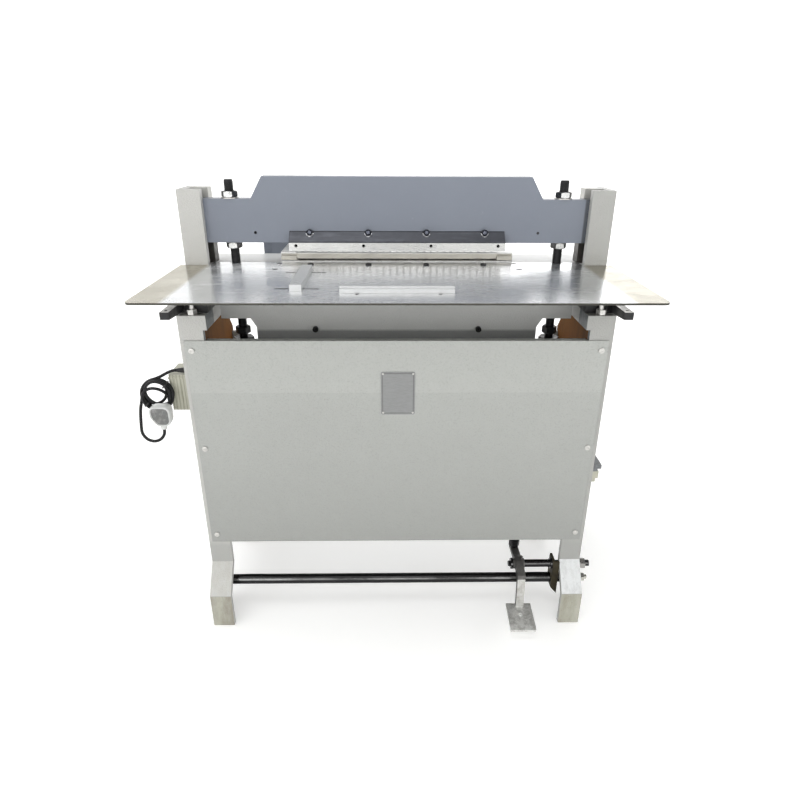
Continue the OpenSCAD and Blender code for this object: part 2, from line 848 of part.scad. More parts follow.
// Spacers keep the paper slot open at its ends
module die_spacers() {
    step = 5;
    top = guide_rise - guide_plate_t;
    color("darkgray") both_sides() translate([die_x - spacer_w, die_y + 1, die_top]) {
        cube([spacer_w, die_d - 1, spacer_h]);
        translate([0, step, 0]) cube([spacer_w, die_d - 1 - step, top]);
    }
}

// The guide plate over the slot has a round nose, and thin ends on the spacers
module guide_plate() {
    nose_x = die_x - spacer_w;
    z0 = die_top + paper_slot;
    r = (guide_rise - paper_slot)/2;
    color("gainsboro") difference() {
        union() {
            x_rod([-nose_x, die_y + r, z0 + r], 2*r, 2*nose_x);
            translate([-nose_x, die_y + r, z0]) cube([2*nose_x, die_d - r, 2*r]);
            both_sides() translate([nose_x - eps, die_y, guide_plate_top - guide_plate_t])
                cube([spacer_w + eps, die_d, guide_plate_t]);
        }
        punch_holes(die_top, guide_rise + 2);
    }
}

// ---- Rods, yokes and main shaft ----

module pull_rods() {
    color("darkslategray") both_sides() translate([rod_x, ram_y, rod_z]) {
        cylinder(d = rod_d, h = rod_top - rod_z - 1.5);
        translate([0, 0, rod_top - rod_z - 1.5]) cylinder(d1 = rod_d, d2 = rod_d - 3, h = 1.5);
    }
}

washer_t = 2.5;
rod_nut_z = [coupling_z + coupling_h + 10, beam_z - nut_h, shoulder_z + washer_t];

// Nuts above and below the beam, with washers under the upper ones, and lock nuts lower down
module rod_nuts() {
    color("silver") both_sides() translate([rod_x, ram_y, 0]) {
        for (z = rod_nut_z) translate([0, 0, z]) nut(nut_af, nut_h, rod_d + 0.1);
        translate([0, 0, shoulder_z]) difference() {
            cylinder(d = nut_af + 7, h = washer_t + eps);
            translate([0, 0, -1]) cylinder(d = rod_d + 0.1, h = washer_t + 2);
        }
    }
}

// Long hexagon couplings join the yokes' shanks to the rods
module rod_couplings() {
    color("dimgray") both_sides() translate([rod_x, ram_y, coupling_z]) difference() {
        linear_extrude(coupling_h) hexagon(coupling_af);
        translate([0, 0, rod_z - coupling_z]) cylinder(d = rod_d + 0.1, h = coupling_h);
        translate([0, 0, -1]) cylinder(d = shank_d + 0.1, h = rod_z - coupling_z - 1);
    }
}

yoke_z = shaft_z + ecc_offset;
yoke_r = ecc_d/2 + yoke_clear;

// A yoke's oblong hole lets the eccentric swing while the yoke only rises and falls
module yoke_outline() {
    difference() {
        union() {
            slot([ram_y - ecc_offset, yoke_z], [ram_y + ecc_offset, yoke_z], 2*(yoke_r + yoke_wall));
            polygon([
                [ram_y - shank_d, yoke_z + yoke_r + yoke_wall*0.55],
                [ram_y + shank_d, yoke_z + yoke_r + yoke_wall*0.55],
                [ram_y + shank_d/2, yoke_z + yoke_r + yoke_wall + 26],
                [ram_y - shank_d/2, yoke_z + yoke_r + yoke_wall + 26]
            ]);
        }
        slot([ram_y - ecc_offset, yoke_z], [ram_y + ecc_offset, yoke_z], 2*yoke_r);
    }
}

module yoke() {
    neck_z = yoke_z + yoke_r + yoke_wall + 20;
    color("dimgray") {
        side_plate(rod_x - yoke_t/2, yoke_t) yoke_outline();
        translate([rod_x, ram_y, neck_z]) cylinder(d = shank_d, h = rod_z - 2 - neck_z);
    }
}

module left_yoke() mirror([1, 0, 0]) yoke();
module right_yoke() yoke();

module main_shaft() {
    end_x = web_x - 2;
    color("silver") x_rod([-end_x, ram_y, shaft_z], shaft_d, 2*end_x);
}

// The eccentrics' high sides point up at rest, so the ram stands at its highest
module eccentrics() {
    color("gray") both_sides() difference() {
        x_rod([rod_x - ecc_w/2, ram_y, yoke_z], ecc_d, ecc_w);
        x_rod([rod_x - ecc_w, ram_y, shaft_z], shaft_d + 0.04, 2*ecc_w);
    }
}

// A flanged bearing: a square plate with four bolts, and a boss round the shaft
module bearing() {
    plate_t = 12;
    boss_d = 74;
    hole = bearing_flange/2 - 14;
    color("darkgray") difference() {
        union() {
            side_plate(web_x - plate_t, plate_t)
                translate([ram_y - bearing_flange/2, shaft_z - bearing_flange/2])
                round_rect([bearing_flange, bearing_flange], 14);
            translate([web_x - bearing_d, ram_y, shaft_z]) rotate([0, 90, 0])
                cylinder(d1 = boss_d - 10, d2 = boss_d, h = bearing_d);
            for (y = [-hole, hole], z = [-hole, hole])
                translate([web_x - plate_t - 8, ram_y + y, shaft_z + z]) rotate([0, 90, 0])
                    linear_extrude(8 + eps) hexagon(17);
        }
        x_rod([web_x - 2*bearing_d, ram_y, shaft_z], shaft_d + 2*shaft_clear, 3*bearing_d);
    }
}

module left_bearing() mirror([1, 0, 0]) bearing();
module right_bearing() bearing();

// ---- Clutch, flywheel, belt and motor ----

// The lug behind the trip lever's nose stops the ring at the top of the stroke
module clutch_ring() {
    r = ring_d/2;
    lug_y = trip_nose_back + 1.5;
    color("gray") difference() {
        union() {
            x_rod([pedal_x - ring_w/2, ram_y, shaft_z], ring_d, ring_w);
            intersection() {
                x_rod([pedal_x - ring_w/2, ram_y, shaft_z], ring_d + 2*ring_lug, ring_w);
                translate([pedal_x - ring_w/2, lug_y, shaft_z - 2*r])
                    cube([ring_w, 16, 2*r - 20]);
            }
            x_rod([pedal_x - ring_w/2 - 3, ram_y, shaft_z], shaft_d + 16, ring_w + 6);
        }
        x_rod([pedal_x - ring_d, ram_y, shaft_z], shaft_d + 0.04, 2*ring_d);
    }
}

// The grooved profile of a pulley, about the X axis
module pulley(d, w, hub_d, hub_l, bore) {
    r = d/2;
    groove_w = belt_w + 2*belt_gap;
    rotate([0, 90, 0]) rotate_extrude($fn = 96) difference() {
        union() {
            translate([bore/2, -hub_l/2]) square([hub_d/2 - bore/2, hub_l]);
            translate([r - groove_depth - 12, -w/2]) square([groove_depth + 12, w]);
            translate([hub_d/2 - 1, -w/4]) square([r - groove_depth - hub_d/2 - 6, w/2]);
        }
        translate([r - groove_depth, -groove_w/2]) square([2*groove_depth, groove_w]);
    }
}

module flywheel() {
    hub = flywheel_w + 6;
    holes = 6;
    color("dimgray") translate([flywheel_x, ram_y, shaft_z]) difference() {
        pulley(flywheel_d, flywheel_w, shaft_d + 30, hub, shaft_d + 2*shaft_clear);
        for (i = [0:holes - 1]) rotate([i*360/holes, 0, 0])
            translate([-flywheel_w, 0, flywheel_d/4 + 8]) rotate([0, 90, 0])
                cylinder(d = 30, h = 2*flywheel_w);
    }
}

module motor_pulley() {
    color("dimgray") translate([flywheel_x, motor_y, motor_z])
        pulley(motor_pulley_d, flywheel_w - 4, motor_shaft_d + 14, flywheel_w, motor_shaft_d + 0.1);
}

// The outline of a loop round two circles: the circles and the quadrangle of their tangents
module loop_outline(r1, r2, d) {
    a = acos((r1 - r2)/d);
    circle(r1, $fn = 96);
    translate([d, 0]) circle(r2, $fn = 64);
    polygon([
        r1*[cos(a), sin(a)], [d, 0] + r2*[cos(a), sin(a)],
        [d, 0] + r2*[cos(a), -sin(a)], r1*[cos(a), -sin(a)]
    ]);
}

module drive_belt() {
    inner_1 = flywheel_d/2 - groove_depth + belt_gap;
    inner_2 = motor_pulley_d/2 - groove_depth + belt_gap;
    gap = [motor_back, motor_z - shaft_z];
    color([0.12, 0.12, 0.12]) side_plate(flywheel_x - belt_w/2, belt_w)
        translate([ram_y, shaft_z]) rotate(atan2(gap.y, gap.x)) difference() {
            loop_outline(inner_1 + belt_t, inner_2 + belt_t, norm(gap));
            loop_outline(inner_1, inner_2, norm(gap));
        }
}

shelf_front = link_y + 16;

// A folded plate between the side frames carries the motor and the trip bracket
module drive_shelf() {
    t = drive_shelf_t;
    flange = 40;
    belt_cut = flywheel_w + 16;
    color("gainsboro") difference() {
        union() {
            translate([-web_x, shelf_front, drive_shelf_z - t])
                cube([2*web_x, back_y - 30 - shelf_front, t]);
            for (y = [shelf_front, back_y - 30 - t]) translate([-web_x, y, drive_shelf_z - flange])
                cube([2*web_x, t, flange - t + eps]);
            both_sides() translate([web_x - t, shelf_front, drive_shelf_z - eps])
                cube([t, back_y - 30 - shelf_front, flange]);
        }
        translate([flywheel_x - belt_cut/2, ram_y - 30, drive_shelf_z - t - 1])
            cube([belt_cut, motor_back - 20, t + 2]);
    }
}

motor_x = flywheel_x - flywheel_w/2 - 26 - motor_l;   // rear end of the motor's body

module motor() {
    foot_w = 120;
    foot_t = 8;
    fins = 24;
    flange_t = 10;
    color("slategray") {
        translate([motor_x, motor_y, motor_z]) rotate([0, 90, 0]) {
            cylinder(d = motor_d - 12, h = motor_l);
            for (z = [0, motor_l - flange_t]) translate([0, 0, z]) cylinder(d = motor_d, h = flange_t);
            translate([0, 0, -34]) cylinder(d = motor_d - 6, h = 34);
            for (i = [0:fins - 1]) rotate([0, 0, i*360/fins])
                translate([motor_d/2 - 8, -1.25, flange_t - eps])
                    cube([7, 2.5, motor_l - 2*flange_t + 2*eps]);
            translate([0, 0, motor_l]) cylinder(d = motor_shaft_d + 16, h = 6);
            cylinder(d = motor_shaft_d, h = motor_l + 26 + flywheel_w);
        }
        for (x = [20, motor_l - 60])
            translate([motor_x + x, motor_y - foot_w/2, drive_shelf_z]) {
                cube([40, foot_w, foot_t]);
                translate([0, foot_w/2 - 28, 0]) cube([40, 56, motor_z - drive_shelf_z - motor_d/2 + 14]);
            }
        translate([motor_x + 50, motor_y - 40, motor_z + motor_d/2 - 14]) cube([90, 80, 46]);
    }
}

// ---- Pedal, link and trip lever ----

trip_z = shaft_z - ring_d/2 - 9;         // height of the trip lever's pivot
trip_y = link_y + trip_arm;
trip_nose_front = ram_y - 11;
trip_nose_back = ram_y + 1.5;
nose_gap = 0.5;
bracket_x = leg_x - 16;                  // left face of the pedal bracket

// A folded plate inside the right leg takes the pedal's stud and the tie bar
module pedal_bracket() {
    t = 6;
    depth = 38;
    y0 = front_y - 8;
    z0 = tie_z - tie_d/2 - 6;
    z1 = pivot_z + stud_d/2 + 4;
    color([0.2, 0.18, 0.12]) difference() {
        union() {
            front_plate(y0, t) polygon([
                [bracket_x, z1], [bracket_x, z0], [leg_x + 8, z0 - 28], [leg_x + 8, z1]
            ]);
            translate([bracket_x, y0, z0]) cube([t, depth, z1 - z0]);
        }
        x_rod([bracket_x - 1, pivot_y, pivot_z], stud_d - 2.9, 60);
        x_rod([bracket_x - 1, front_y + tie_back, tie_z], tie_d + 0.1, 60);
        translate([leg_x - eps, y0 - 1, z0 - 40]) cube([60, 9.5, 200]);
    }
}

// The stud carries the pedal between its head and a spacer tube, and is bolted through the frame
module pedal_stud() {
    x0 = pedal_x - hub_l/2 - 12;
    x1 = pedal_x + hub_l/2 + 1;
    color("darkslategray") {
        x_rod([x0 + 6, pivot_y, pivot_z], stud_d - 3, half_w + 26 - x0 - 6);
        translate([x0, pivot_y, pivot_z]) rotate([0, 90, 0]) linear_extrude(8) hexagon(13);
        x_rod([x0 + 6, pivot_y, pivot_z], stud_d + 8, 5);
        x_rod([x1, pivot_y, pivot_z], stud_d, bracket_x - x1);
        x_rod([bracket_x - 5, pivot_y, pivot_z], stud_d + 8, 5);
        translate([half_w, pivot_y, pivot_z]) rotate([0, 90, 0]) {
            cylinder(d = 28, h = 3);
            translate([0, 0, 3]) linear_extrude(12) hexagon(24);
        }
    }
}

// A round bar between the legs, with its end bolts outside the side plates
module tie_bar() {
    color([0.1, 0.1, 0.11]) {
        x_rod([-web_x, front_y + tie_back, tie_z], tie_d, 2*web_x);
        translate([-half_w, front_y + tie_back, tie_z]) rotate([0, -90, 0]) {
            cylinder(d = 22, h = 2);
            translate([0, 0, 2]) linear_extrude(8) hexagon(17);
        }
        translate([half_w, front_y + tie_back, tie_z]) rotate([0, 90, 0]) {
            cylinder(d = 24, h = 3);
            for (z = [3, 12]) translate([0, 0, z]) linear_extrude(8) hexagon(19);
            cylinder(d = 12, h = 27);
        }
    }
}

// The lever's bar runs back to the link rod and bends down to the foot pad
module lever_outline() {
    t = lever_t;
    rear = [link_y + link_nut_af/2 + 2, pivot_z + lever_rise];
    crest = pivot_z + hub_d/2 + 0.5;
    knee = [front_y - 35, pivot_z - 8];
    toe_end = [front_y - 44, pad_z];
    polygon([
        rear + [0, -t/2], rear + [0, t/2], [link_y - link_nut_af/2 - 4, rear.y + t/2],
        [pivot_y + 24, rear.y + t/2 + 1], [pivot_y + 10, crest], [pivot_y - 10, crest],
        [knee.x - t/2, knee.y + t/2 + 2],
        toe_end + [-t/2, 0], toe_end + [t/2 - 1, 0],
        [knee.x + t/2, knee.y - t/2], [pivot_y + 12, pivot_z - t/2],
        [link_y - link_nut_af/2 - 4, rear.y - t/2]
    ]);
}

module pedal_lever() {
    color("gray") difference() {
        union() {
            side_plate(pedal_x - lever_w/2, lever_w) lever_outline();
            x_rod([pedal_x - hub_l/2, pivot_y, pivot_z], hub_d, hub_l);
            translate([pedal_x + hub_l/2 - 7, pivot_y, pivot_z]) cylinder(d = 6, h = hub_d/2 + 9);
        }
        x_rod([pedal_x - hub_l, pivot_y, pivot_z], stud_d - 3 + 2*pivot_clear, 2*hub_l);
        translate([pedal_x, 0, pivot_z - 20]) linear_extrude(60)
            slot([0, link_y - 4], [0, link_y + 4], link_d + 2*stud_clear);
    }
}

module pad_outline() {
    drop = 9;
    lip = 14;
    y0 = front_y - 38;
    polygon([
        [y0, pad_z - 1], [y0, pad_z - 1 - pad_t], [y0 - pad_l + lip, pad_z - drop - pad_t],
        [y0 - pad_l, pad_z - drop - pad_t - 4], [y0 - pad_l, pad_z - drop - 4],
        [y0 - pad_l + lip, pad_z - drop]
    ]);
}

module pedal_pad() {
    color("lightgray") difference() {
        union() {
            side_plate(pedal_x - 2 - pad_w/2, pad_w) pad_outline();
            translate([pedal_x - lever_w/2, front_y - 50, pad_z - 8]) cube([lever_w, 12, 8]);
        }
        translate([pedal_x - 2, front_y - 38 - pad_l*0.46, 0]) cylinder(d = 9, h = pad_z);
    }
}

link_top = trip_z + 22;
link_bottom = pivot_z + 1;
link_shoulder = pivot_z + lever_rise + lever_t/2 + 2.4;
guide_z = drive_shelf_z - drive_shelf_t;
spring_z = link_shoulder + 18;
spring_top = guide_z - 0.2;

// The link rod passes through the pedal's rear end and the guide lug up to the trip lever
module link_rod() {
    color("darkslategray") translate([pedal_x, link_y, 0]) {
        translate([0, 0, link_bottom - 8]) cylinder(d = link_d, h = link_top - link_bottom + 8);
        translate([0, 0, link_shoulder]) linear_extrude(14) hexagon(link_nut_af);
        translate([0, 0, link_shoulder + 14]) cylinder(d = link_nut_af, h = 4);
        for (z = [trip_z - trip_t/2 - 4 - 9, trip_z + trip_t/2 + 4])
            translate([0, 0, z]) linear_extrude(9) hexagon(19);
    }
}

function helix(r, z0, z1, turns, steps) = [
    for (i = [0:turns*steps]) let (a = 360*i/steps)
        [r*cos(a), r*sin(a), z0 + (z1 - z0)*i/(turns*steps)]
];

// A tube swept along a list of points, with rings square to the path
module sweep(points, d, sides) {
    n = len(points);
    function unit(v) = v/norm(v);
    function along(i) = unit(points[min(i + 1, n - 1)] - points[max(i - 1, 0)]);
    function frames(i, u) = i >= n ? [] : let (
        t = along(i), v = unit(u - (u*t)*t)
    ) concat([[v, cross(t, v)]], frames(i + 1, v));
    start = abs(along(0).z) < 0.9 ? [0, 0, 1] : [1, 0, 0];
    f = frames(0, start);
    rings = [for (i = [0:n - 1], k = [0:sides - 1])
        points[i] + d/2*(cos(360*k/sides)*f[i][0] + sin(360*k/sides)*f[i][1])];
    walls = [for (i = [0:n - 2], k = [0:sides - 1]) let (k1 = (k + 1)%sides)
        [i*sides + k, (i + 1)*sides + k, (i + 1)*sides + k1, i*sides + k1]];
    ends = [[for (k = [0:sides - 1]) k], [for (k = [0:sides - 1]) n*sides - 1 - k]];
    polyhedron(rings, concat(walls, ends));
}

// A compression spring between the link rod's collar and the guide lug
module link_spring() {
    r = link_d/2 + spring_wire/2 + 1;
    color("silver") translate([pedal_x, link_y, 0])
        sweep(helix(r, spring_z + spring_wire/2, spring_top - spring_wire/2, spring_turns, 16),
            spring_wire, 8);
}

// A clevis for the trip lever's pin, with a lug that guides the link rod
module trip_bracket() {
    cheek_t = 8;
    gap = lever_w + 2*slide_gap;
    pad = 60;
    color("dimgray") {
        difference() {
            union() {
                for (x = [pedal_x - gap/2 - cheek_t, pedal_x + gap/2]) side_plate(x, cheek_t) polygon([
                    [shelf_front - 14, drive_shelf_z], [trip_y + 34, drive_shelf_z],
                    [trip_y + 11, trip_z + 4], [trip_y + 7, trip_z + 9],
                    [trip_y - 7, trip_z + 9], [trip_y - 13, trip_z + 2]
                ]);
                translate([pedal_x - pad/2, link_y - 13, guide_z])
                    cube([pad, shelf_front - link_y + 13 - eps, drive_shelf_t]);
            }
            translate([pedal_x, link_y, guide_z - 1])
                cylinder(d = link_d + 2*pivot_clear, h = drive_shelf_t + 2);
            x_rod([pedal_x - 40, trip_y, trip_z], trip_pin_d + 0.04, 80);
        }
        x_rod([pedal_x - gap/2 - cheek_t - 4, trip_y, trip_z], trip_pin_d, gap + 2*cheek_t + 8);
    }
}

module trip_lever() {
    t = trip_t;
    slot_l = link_d/2 + 5;
    color("gray") difference() {
        side_plate(pedal_x - lever_w/2, lever_w) polygon([
            [link_y - slot_l - 6, trip_z - t/2], [link_y - slot_l - 6, trip_z + t/2],
            [trip_y + 8, trip_z + t/2], [trip_nose_front, shaft_z - ring_d/2 - nose_gap],
            [trip_nose_back, shaft_z - ring_d/2 - nose_gap], [trip_nose_back, trip_z - t/2]
        ]);
        x_rod([pedal_x - 40, trip_y, trip_z], trip_pin_d + 2*pivot_clear, 80);
        translate([pedal_x, 0, trip_z - t]) linear_extrude(2*t)
            slot([0, link_y - 4], [0, link_y + 3], link_d + 2*stud_clear);
    }
}

// ---- Paper guides ----

module side_guide() {
    color("whitesmoke") difference() {
        union() {
            translate([-side_guide_x - side_guide_w/2, side_front, table_top + guide_lift])
                cube([side_guide_w, side_guide_l, guide_h]);
            for (y = side_stud_y) translate([-side_guide_x, y, bed_top - 12])
                cylinder(d = guide_stud_d, h = table_t + 12 + guide_lift + eps);
        }
        translate([-side_guide_x, side_stud_y[0], table_top + guide_h - 4]) cylinder(d = 9, h = 8);
    }
}

module lay_bar() {
    step_d = 8;
    step_h = 4;
    color("whitesmoke") difference() {
        union() {
            translate([-lay_bar_l/2 - 3, lay_front, table_top + guide_lift])
                cube([lay_bar_l, lay_bar_w, guide_h]);
            for (x = [-lay_stud_x, lay_stud_x]) translate([x, lay_stud_y, bed_top - 12])
                cylinder(d = guide_stud_d, h = table_t + 12 + guide_lift + eps);
        }
        translate([-lay_bar_l, lay_front - eps, table_top + guide_h + guide_lift - step_h])
            cube([2*lay_bar_l, step_d, step_h + 1]);
    }
}

// Round clamp nuts under the table hold a guide where it is set
module clamp_nut(p) {
    translate([p.x, p.y, bed_top - 10 - guide_lift]) difference() {
        union() {
            translate([0, 0, 6]) cylinder(d = 16, h = 4);
            cylinder(d = 22, h = 7, $fn = 48);
        }
        translate([0, 0, -1]) cylinder(d = guide_stud_d + 0.1, h = 12);
    }
}

module guide_nuts() color("dimgray") for (y = side_stud_y) clamp_nut([-side_guide_x, y]);
module lay_nuts() color("dimgray") for (x = [-lay_stud_x, lay_stud_x]) clamp_nut([x, lay_stud_y]);

// ---- Electrical boxes ----

ebox_y = front_y + ebox_setback;

module junction_box() {
    wall = 3;
    ribs = 3;
    rib_w = 6;
    color("beige") translate([-half_w - jbox_w, ebox_y, jbox_z]) {
        difference() {
            cube([jbox_w, jbox_d, jbox_h]);
            translate([wall, wall, wall]) cube([jbox_w, jbox_d - 2*wall, jbox_h - 2*wall]);
        }
        for (i = [0:ribs - 1]) translate([jbox_w*(i + 0.6)/ribs - rib_w/2, -2, 3])
            cube([rib_w, 2 + eps, jbox_h - 6]);
        translate([-1.5, -1.5, jbox_h - 10]) difference() {
            cube([jbox_w + 1.5, jbox_d + 3, 4]);
            translate([1.5, 1.5, -1]) cube([jbox_w + 2, jbox_d, 6]);
        }
    }
}

sbox_base = 9;                           // black base below the switch's body
sbox_hood = 17;                          // hood above it
sbox_body = sbox_h - sbox_base - sbox_hood;
button_z = sbox_z + sbox_base + sbox_body/2;

module switch_box() {
    color("black") translate([half_w, ebox_y, sbox_z]) cube([sbox_w - 6, sbox_d, sbox_base]);
    color("beige") translate([half_w, ebox_y, sbox_z + sbox_base]) difference() {
        cube([sbox_w, sbox_d, sbox_body]);
        translate([sbox_w - 8, sbox_d/2, sbox_body/2]) rotate([0, 90, 0])
            cylinder(d = button_d + 2*stud_clear, h = 20);
    }
}

module switch_hood() {
    lip = 7;
    color("gray") translate([half_w, ebox_y, sbox_z + sbox_base + sbox_body]) difference() {
        cube([sbox_w + 5, sbox_d, sbox_hood]);
        translate([sbox_w - 4, -1, -1]) cube([20, sbox_d + 2, lip + 1]);
    }
}

module push_button() {
    color("firebrick") x_rod(
        [half_w + sbox_w - 8 + button_travel + 0.3, ebox_y + sbox_d/2, button_z],
        button_d, 8 + 3 - button_travel
    );
}

// ---- Mains lead ----

cord_y = front_y + 3;                    // plane of the coil's middle
gland_z = 657;
gland_l = 22.5;
coil_c = [-524.5, cord_y, 606.5];
coil_turns_across = 3;

module cord_gland() {
    color("black") translate([-half_w, cord_y + 17, gland_z]) rotate([0, -90, 0]) {
        cylinder(d = 17, h = 4);
        cylinder(d1 = 13, d2 = cord_d + 2, h = gland_l);
    }
}

// From the gland over to the top of the coil
lead_route = [
    [-480, -140, 657], [-485, -140.6, 657.2], [-490, -142, 656], [-495, -145, 653],
    [-500, -149, 649.5], [-505.5, -153, 645.5], [-511, -156.5, 641.5]
];

// From the coil's left side down, round and up into the plug
tail_route = [
    [-558.5, -157, 604], [-561, -160, 591], [-563, -164, 577], [-564, -168, 563],
    [-564, -172, 550], [-564, -176, 533], [-562.4, -179, 523.9], [-557.8, -181, 516],
    [-550.8, -183, 510.1], [-542.1, -184, 506.9], [-532.9, -185, 506.9], [-524.2, -185, 510.1],
    [-517.2, -184.5, 516], [-512.6, -184, 523.9], [-511, -184, 533], [-511, -184, 537]
];

module cord_lead() color("black") sweep(lead_route, cord_d, 10);
module cord_tail() color("black") sweep(tail_route, cord_d, 10);

module cord_coil() {
    color("black") translate(coil_c) rotate([90, 0, 0]) rotate_extrude($fn = 96)
        translate([coil_d/2 - cord_d, -coil_turns_across*cord_d/2])
            square([2*cord_d, coil_turns_across*cord_d]);
}

// A moulded plug with three pins
module mains_plug() {
    plug = [44, 30, 46];
    color("whitesmoke") translate([-511, -184, 536.5]) {
        translate([0, 0, 0]) cylinder(d1 = cord_d + 4, d2 = 20, h = 14);
        translate([-plug.x/2, -plug.y/2, 12]) cube(plug);
    }
}

left_side_frame();
right_side_frame();
front_cover();
cover_screws();
bed();
bed_bolts();
rear_bracket();
table();
table_screws();
left_table_arm();
right_table_arm();
levelling_bolts();
guide_posts();
die_plate();
die_spacers();
guide_plate();
left_bearing();
right_bearing();
drive_shelf();
motor();
drive_belt();
tie_bar();
pedal_bracket();
pedal_stud();
trip_bracket();
junction_box();
cord_gland();
cord_lead();
cord_coil();
cord_tail();
mains_plug();
switch_box();
switch_hood();
upper_beam();
punch_clamp();
punch_bar();
punches();
clamp_screws();
pull_rods();
rod_nuts();
rod_couplings();
left_yoke();
right_yoke();
main_shaft();
eccentrics();
clutch_ring();
flywheel();
motor_pulley();
pedal_lever();
pedal_pad();
link_rod();
link_spring();
trip_lever();
side_guide();
lay_bar();
guide_nuts();
lay_nuts();
push_button();
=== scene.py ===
import math
import bmesh
import bpy
from mathutils import Matrix, Vector


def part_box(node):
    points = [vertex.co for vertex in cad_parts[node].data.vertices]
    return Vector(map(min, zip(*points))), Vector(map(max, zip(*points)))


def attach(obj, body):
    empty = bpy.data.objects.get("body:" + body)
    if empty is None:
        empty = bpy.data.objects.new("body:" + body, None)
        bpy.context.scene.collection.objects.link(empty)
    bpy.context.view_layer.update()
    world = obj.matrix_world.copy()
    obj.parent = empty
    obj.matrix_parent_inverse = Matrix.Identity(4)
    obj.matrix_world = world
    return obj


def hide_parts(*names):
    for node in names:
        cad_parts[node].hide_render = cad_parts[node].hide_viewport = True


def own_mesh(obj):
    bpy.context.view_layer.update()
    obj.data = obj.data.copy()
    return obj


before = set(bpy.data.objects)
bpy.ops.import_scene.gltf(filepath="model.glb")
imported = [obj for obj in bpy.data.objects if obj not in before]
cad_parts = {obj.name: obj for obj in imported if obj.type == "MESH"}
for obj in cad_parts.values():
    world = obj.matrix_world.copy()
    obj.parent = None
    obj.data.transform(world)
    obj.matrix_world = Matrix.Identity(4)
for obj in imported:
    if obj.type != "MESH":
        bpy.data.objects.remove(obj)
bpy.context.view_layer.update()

# ---- Camera, light and floor ----
# A workshop view from in front, a little left of the middle and above the table. Four soft lamps light it,
# and a pale floor sweeps up into a round white wall.
camera_place = Vector((-0.0169, -1.3920, 1.1405))
camera_turn, camera_tilt, camera_roll = math.radians(1.05), math.radians(23.93), math.radians(0.30)
ahead = Vector((math.sin(camera_turn)*math.cos(camera_tilt),
                math.cos(camera_turn)*math.cos(camera_tilt), -math.sin(camera_tilt)))
level = Vector((math.cos(camera_turn), -math.sin(camera_turn), 0))
upright = level.cross(ahead)
right = level*math.cos(camera_roll) + upright*math.sin(camera_roll)
above = upright*math.cos(camera_roll) - level*math.sin(camera_roll)
camera = bpy.data.objects.new("camera", bpy.data.cameras.new("camera"))
camera.data.lens = 27.533
camera.data.sensor_width = 36
camera.matrix_world = Matrix((right, above, -ahead)).transposed().to_4x4()
camera.location = camera_place
bpy.context.scene.collection.objects.link(camera)
bpy.context.scene.camera = camera


def softbox(name, place, aim, size, power):
    lamp = bpy.data.lights.new(name, "AREA")
    lamp.shape = "RECTANGLE"
    lamp.size, lamp.size_y = size
    lamp.energy = power
    lamp_object = bpy.data.objects.new(name, lamp)
    lamp_object.location = place
    lamp_object.rotation_euler = (Vector(aim) - Vector(place)).to_track_quat("-Z", "Y").to_euler()
    bpy.context.scene.collection.objects.link(lamp_object)


softbox("ceiling_light", (-0.5, -0.7, 3.2), (0, 0, 0.7), (2.6, 1.8), 44)
softbox("front_light", (-1.5, -3.0, 1.7), (0, 0, 0.55), (1.8, 1.6), 7)
softbox("right_light", (3.0, -0.8, 1.7), (0, 0, 0.7), (1.4, 1.8), 5)
softbox("back_light", (0.8, 3.2, 2.2), (0, 0, 0.7), (2.6, 1.6), 16)
room = bpy.data.worlds.new("room")
room.use_nodes = True
room.node_tree.nodes["Background"].inputs["Color"].default_value = (1, 1, 1, 1)
# Above the wall the room looks as white as the wall, and sends no more light than a dim ceiling
room_seen = room.node_tree.nodes.new("ShaderNodeLightPath")
room_level = room.node_tree.nodes.new("ShaderNodeMapRange")
room_level.inputs["To Min"].default_value, room_level.inputs["To Max"].default_value = 0.22, 1.0
room.node_tree.links.new(room_seen.outputs["Is Camera Ray"], room_level.inputs["Value"])
room.node_tree.links.new(room_level.outputs["Result"], room.node_tree.nodes["Background"].inputs["Strength"])
bpy.context.scene.world = room
bpy.context.scene.view_settings.view_transform = "Standard"


def circle(steps):
    """The (cosine, sine) pairs of equal steps round a circle."""
    return [(math.cos(2*math.pi*k/steps), math.sin(2*math.pi*k/steps)) for k in range(steps)]


# The floor sweeps up into a round white wall, so that every side has the same plain ground
studio_radius, studio_sweep, studio_height, studio_steps = 6.5, 1.2, 4.6, 96
studio_profile = [(0.0, 0.0), (studio_radius - studio_sweep, 0.0)]
studio_profile += [(studio_radius - studio_sweep + studio_sweep*math.sin(math.radians(a)),
                    studio_sweep - studio_sweep*math.cos(math.radians(a))) for a in range(10, 91, 10)]
studio_profile.append((studio_radius, studio_height))
studio_points, studio_faces = [(0, 0, 0)], []
for radius, height in studio_profile[1:]:
    studio_points += [(radius*c, radius*s, height) for c, s in circle(studio_steps)]
for k in range(studio_steps):
    beside = (k + 1) % studio_steps
    studio_faces.append((0, 1 + k, 1 + beside))
    for i in range(len(studio_profile) - 2):
        low, high = 1 + i*studio_steps, 1 + (i + 1)*studio_steps
        studio_faces.append((low + k, high + k, high + beside, low + beside))
floor_mesh = bpy.data.meshes.new("floor")
floor_mesh.from_pydata(studio_points, [], studio_faces)
floor_mesh.polygons.foreach_set("use_smooth", [True]*len(floor_mesh.polygons))
floor = bpy.data.objects.new("floor", floor_mesh)
bpy.context.scene.collection.objects.link(floor)
floor_paint = bpy.data.materials.new("floor_paint")
floor_paint.use_nodes = True
floor_shader = floor_paint.node_tree.nodes["Principled BSDF"]
floor_shader.inputs["Base Color"].default_value = (0.9, 0.9, 0.89, 1)
floor_shader.inputs["Roughness"].default_value = 0.75
floor_shader.inputs["Emission Color"].default_value = (1, 1, 1, 1)
floor_place = floor_paint.node_tree.nodes.new("ShaderNodeTexCoord")
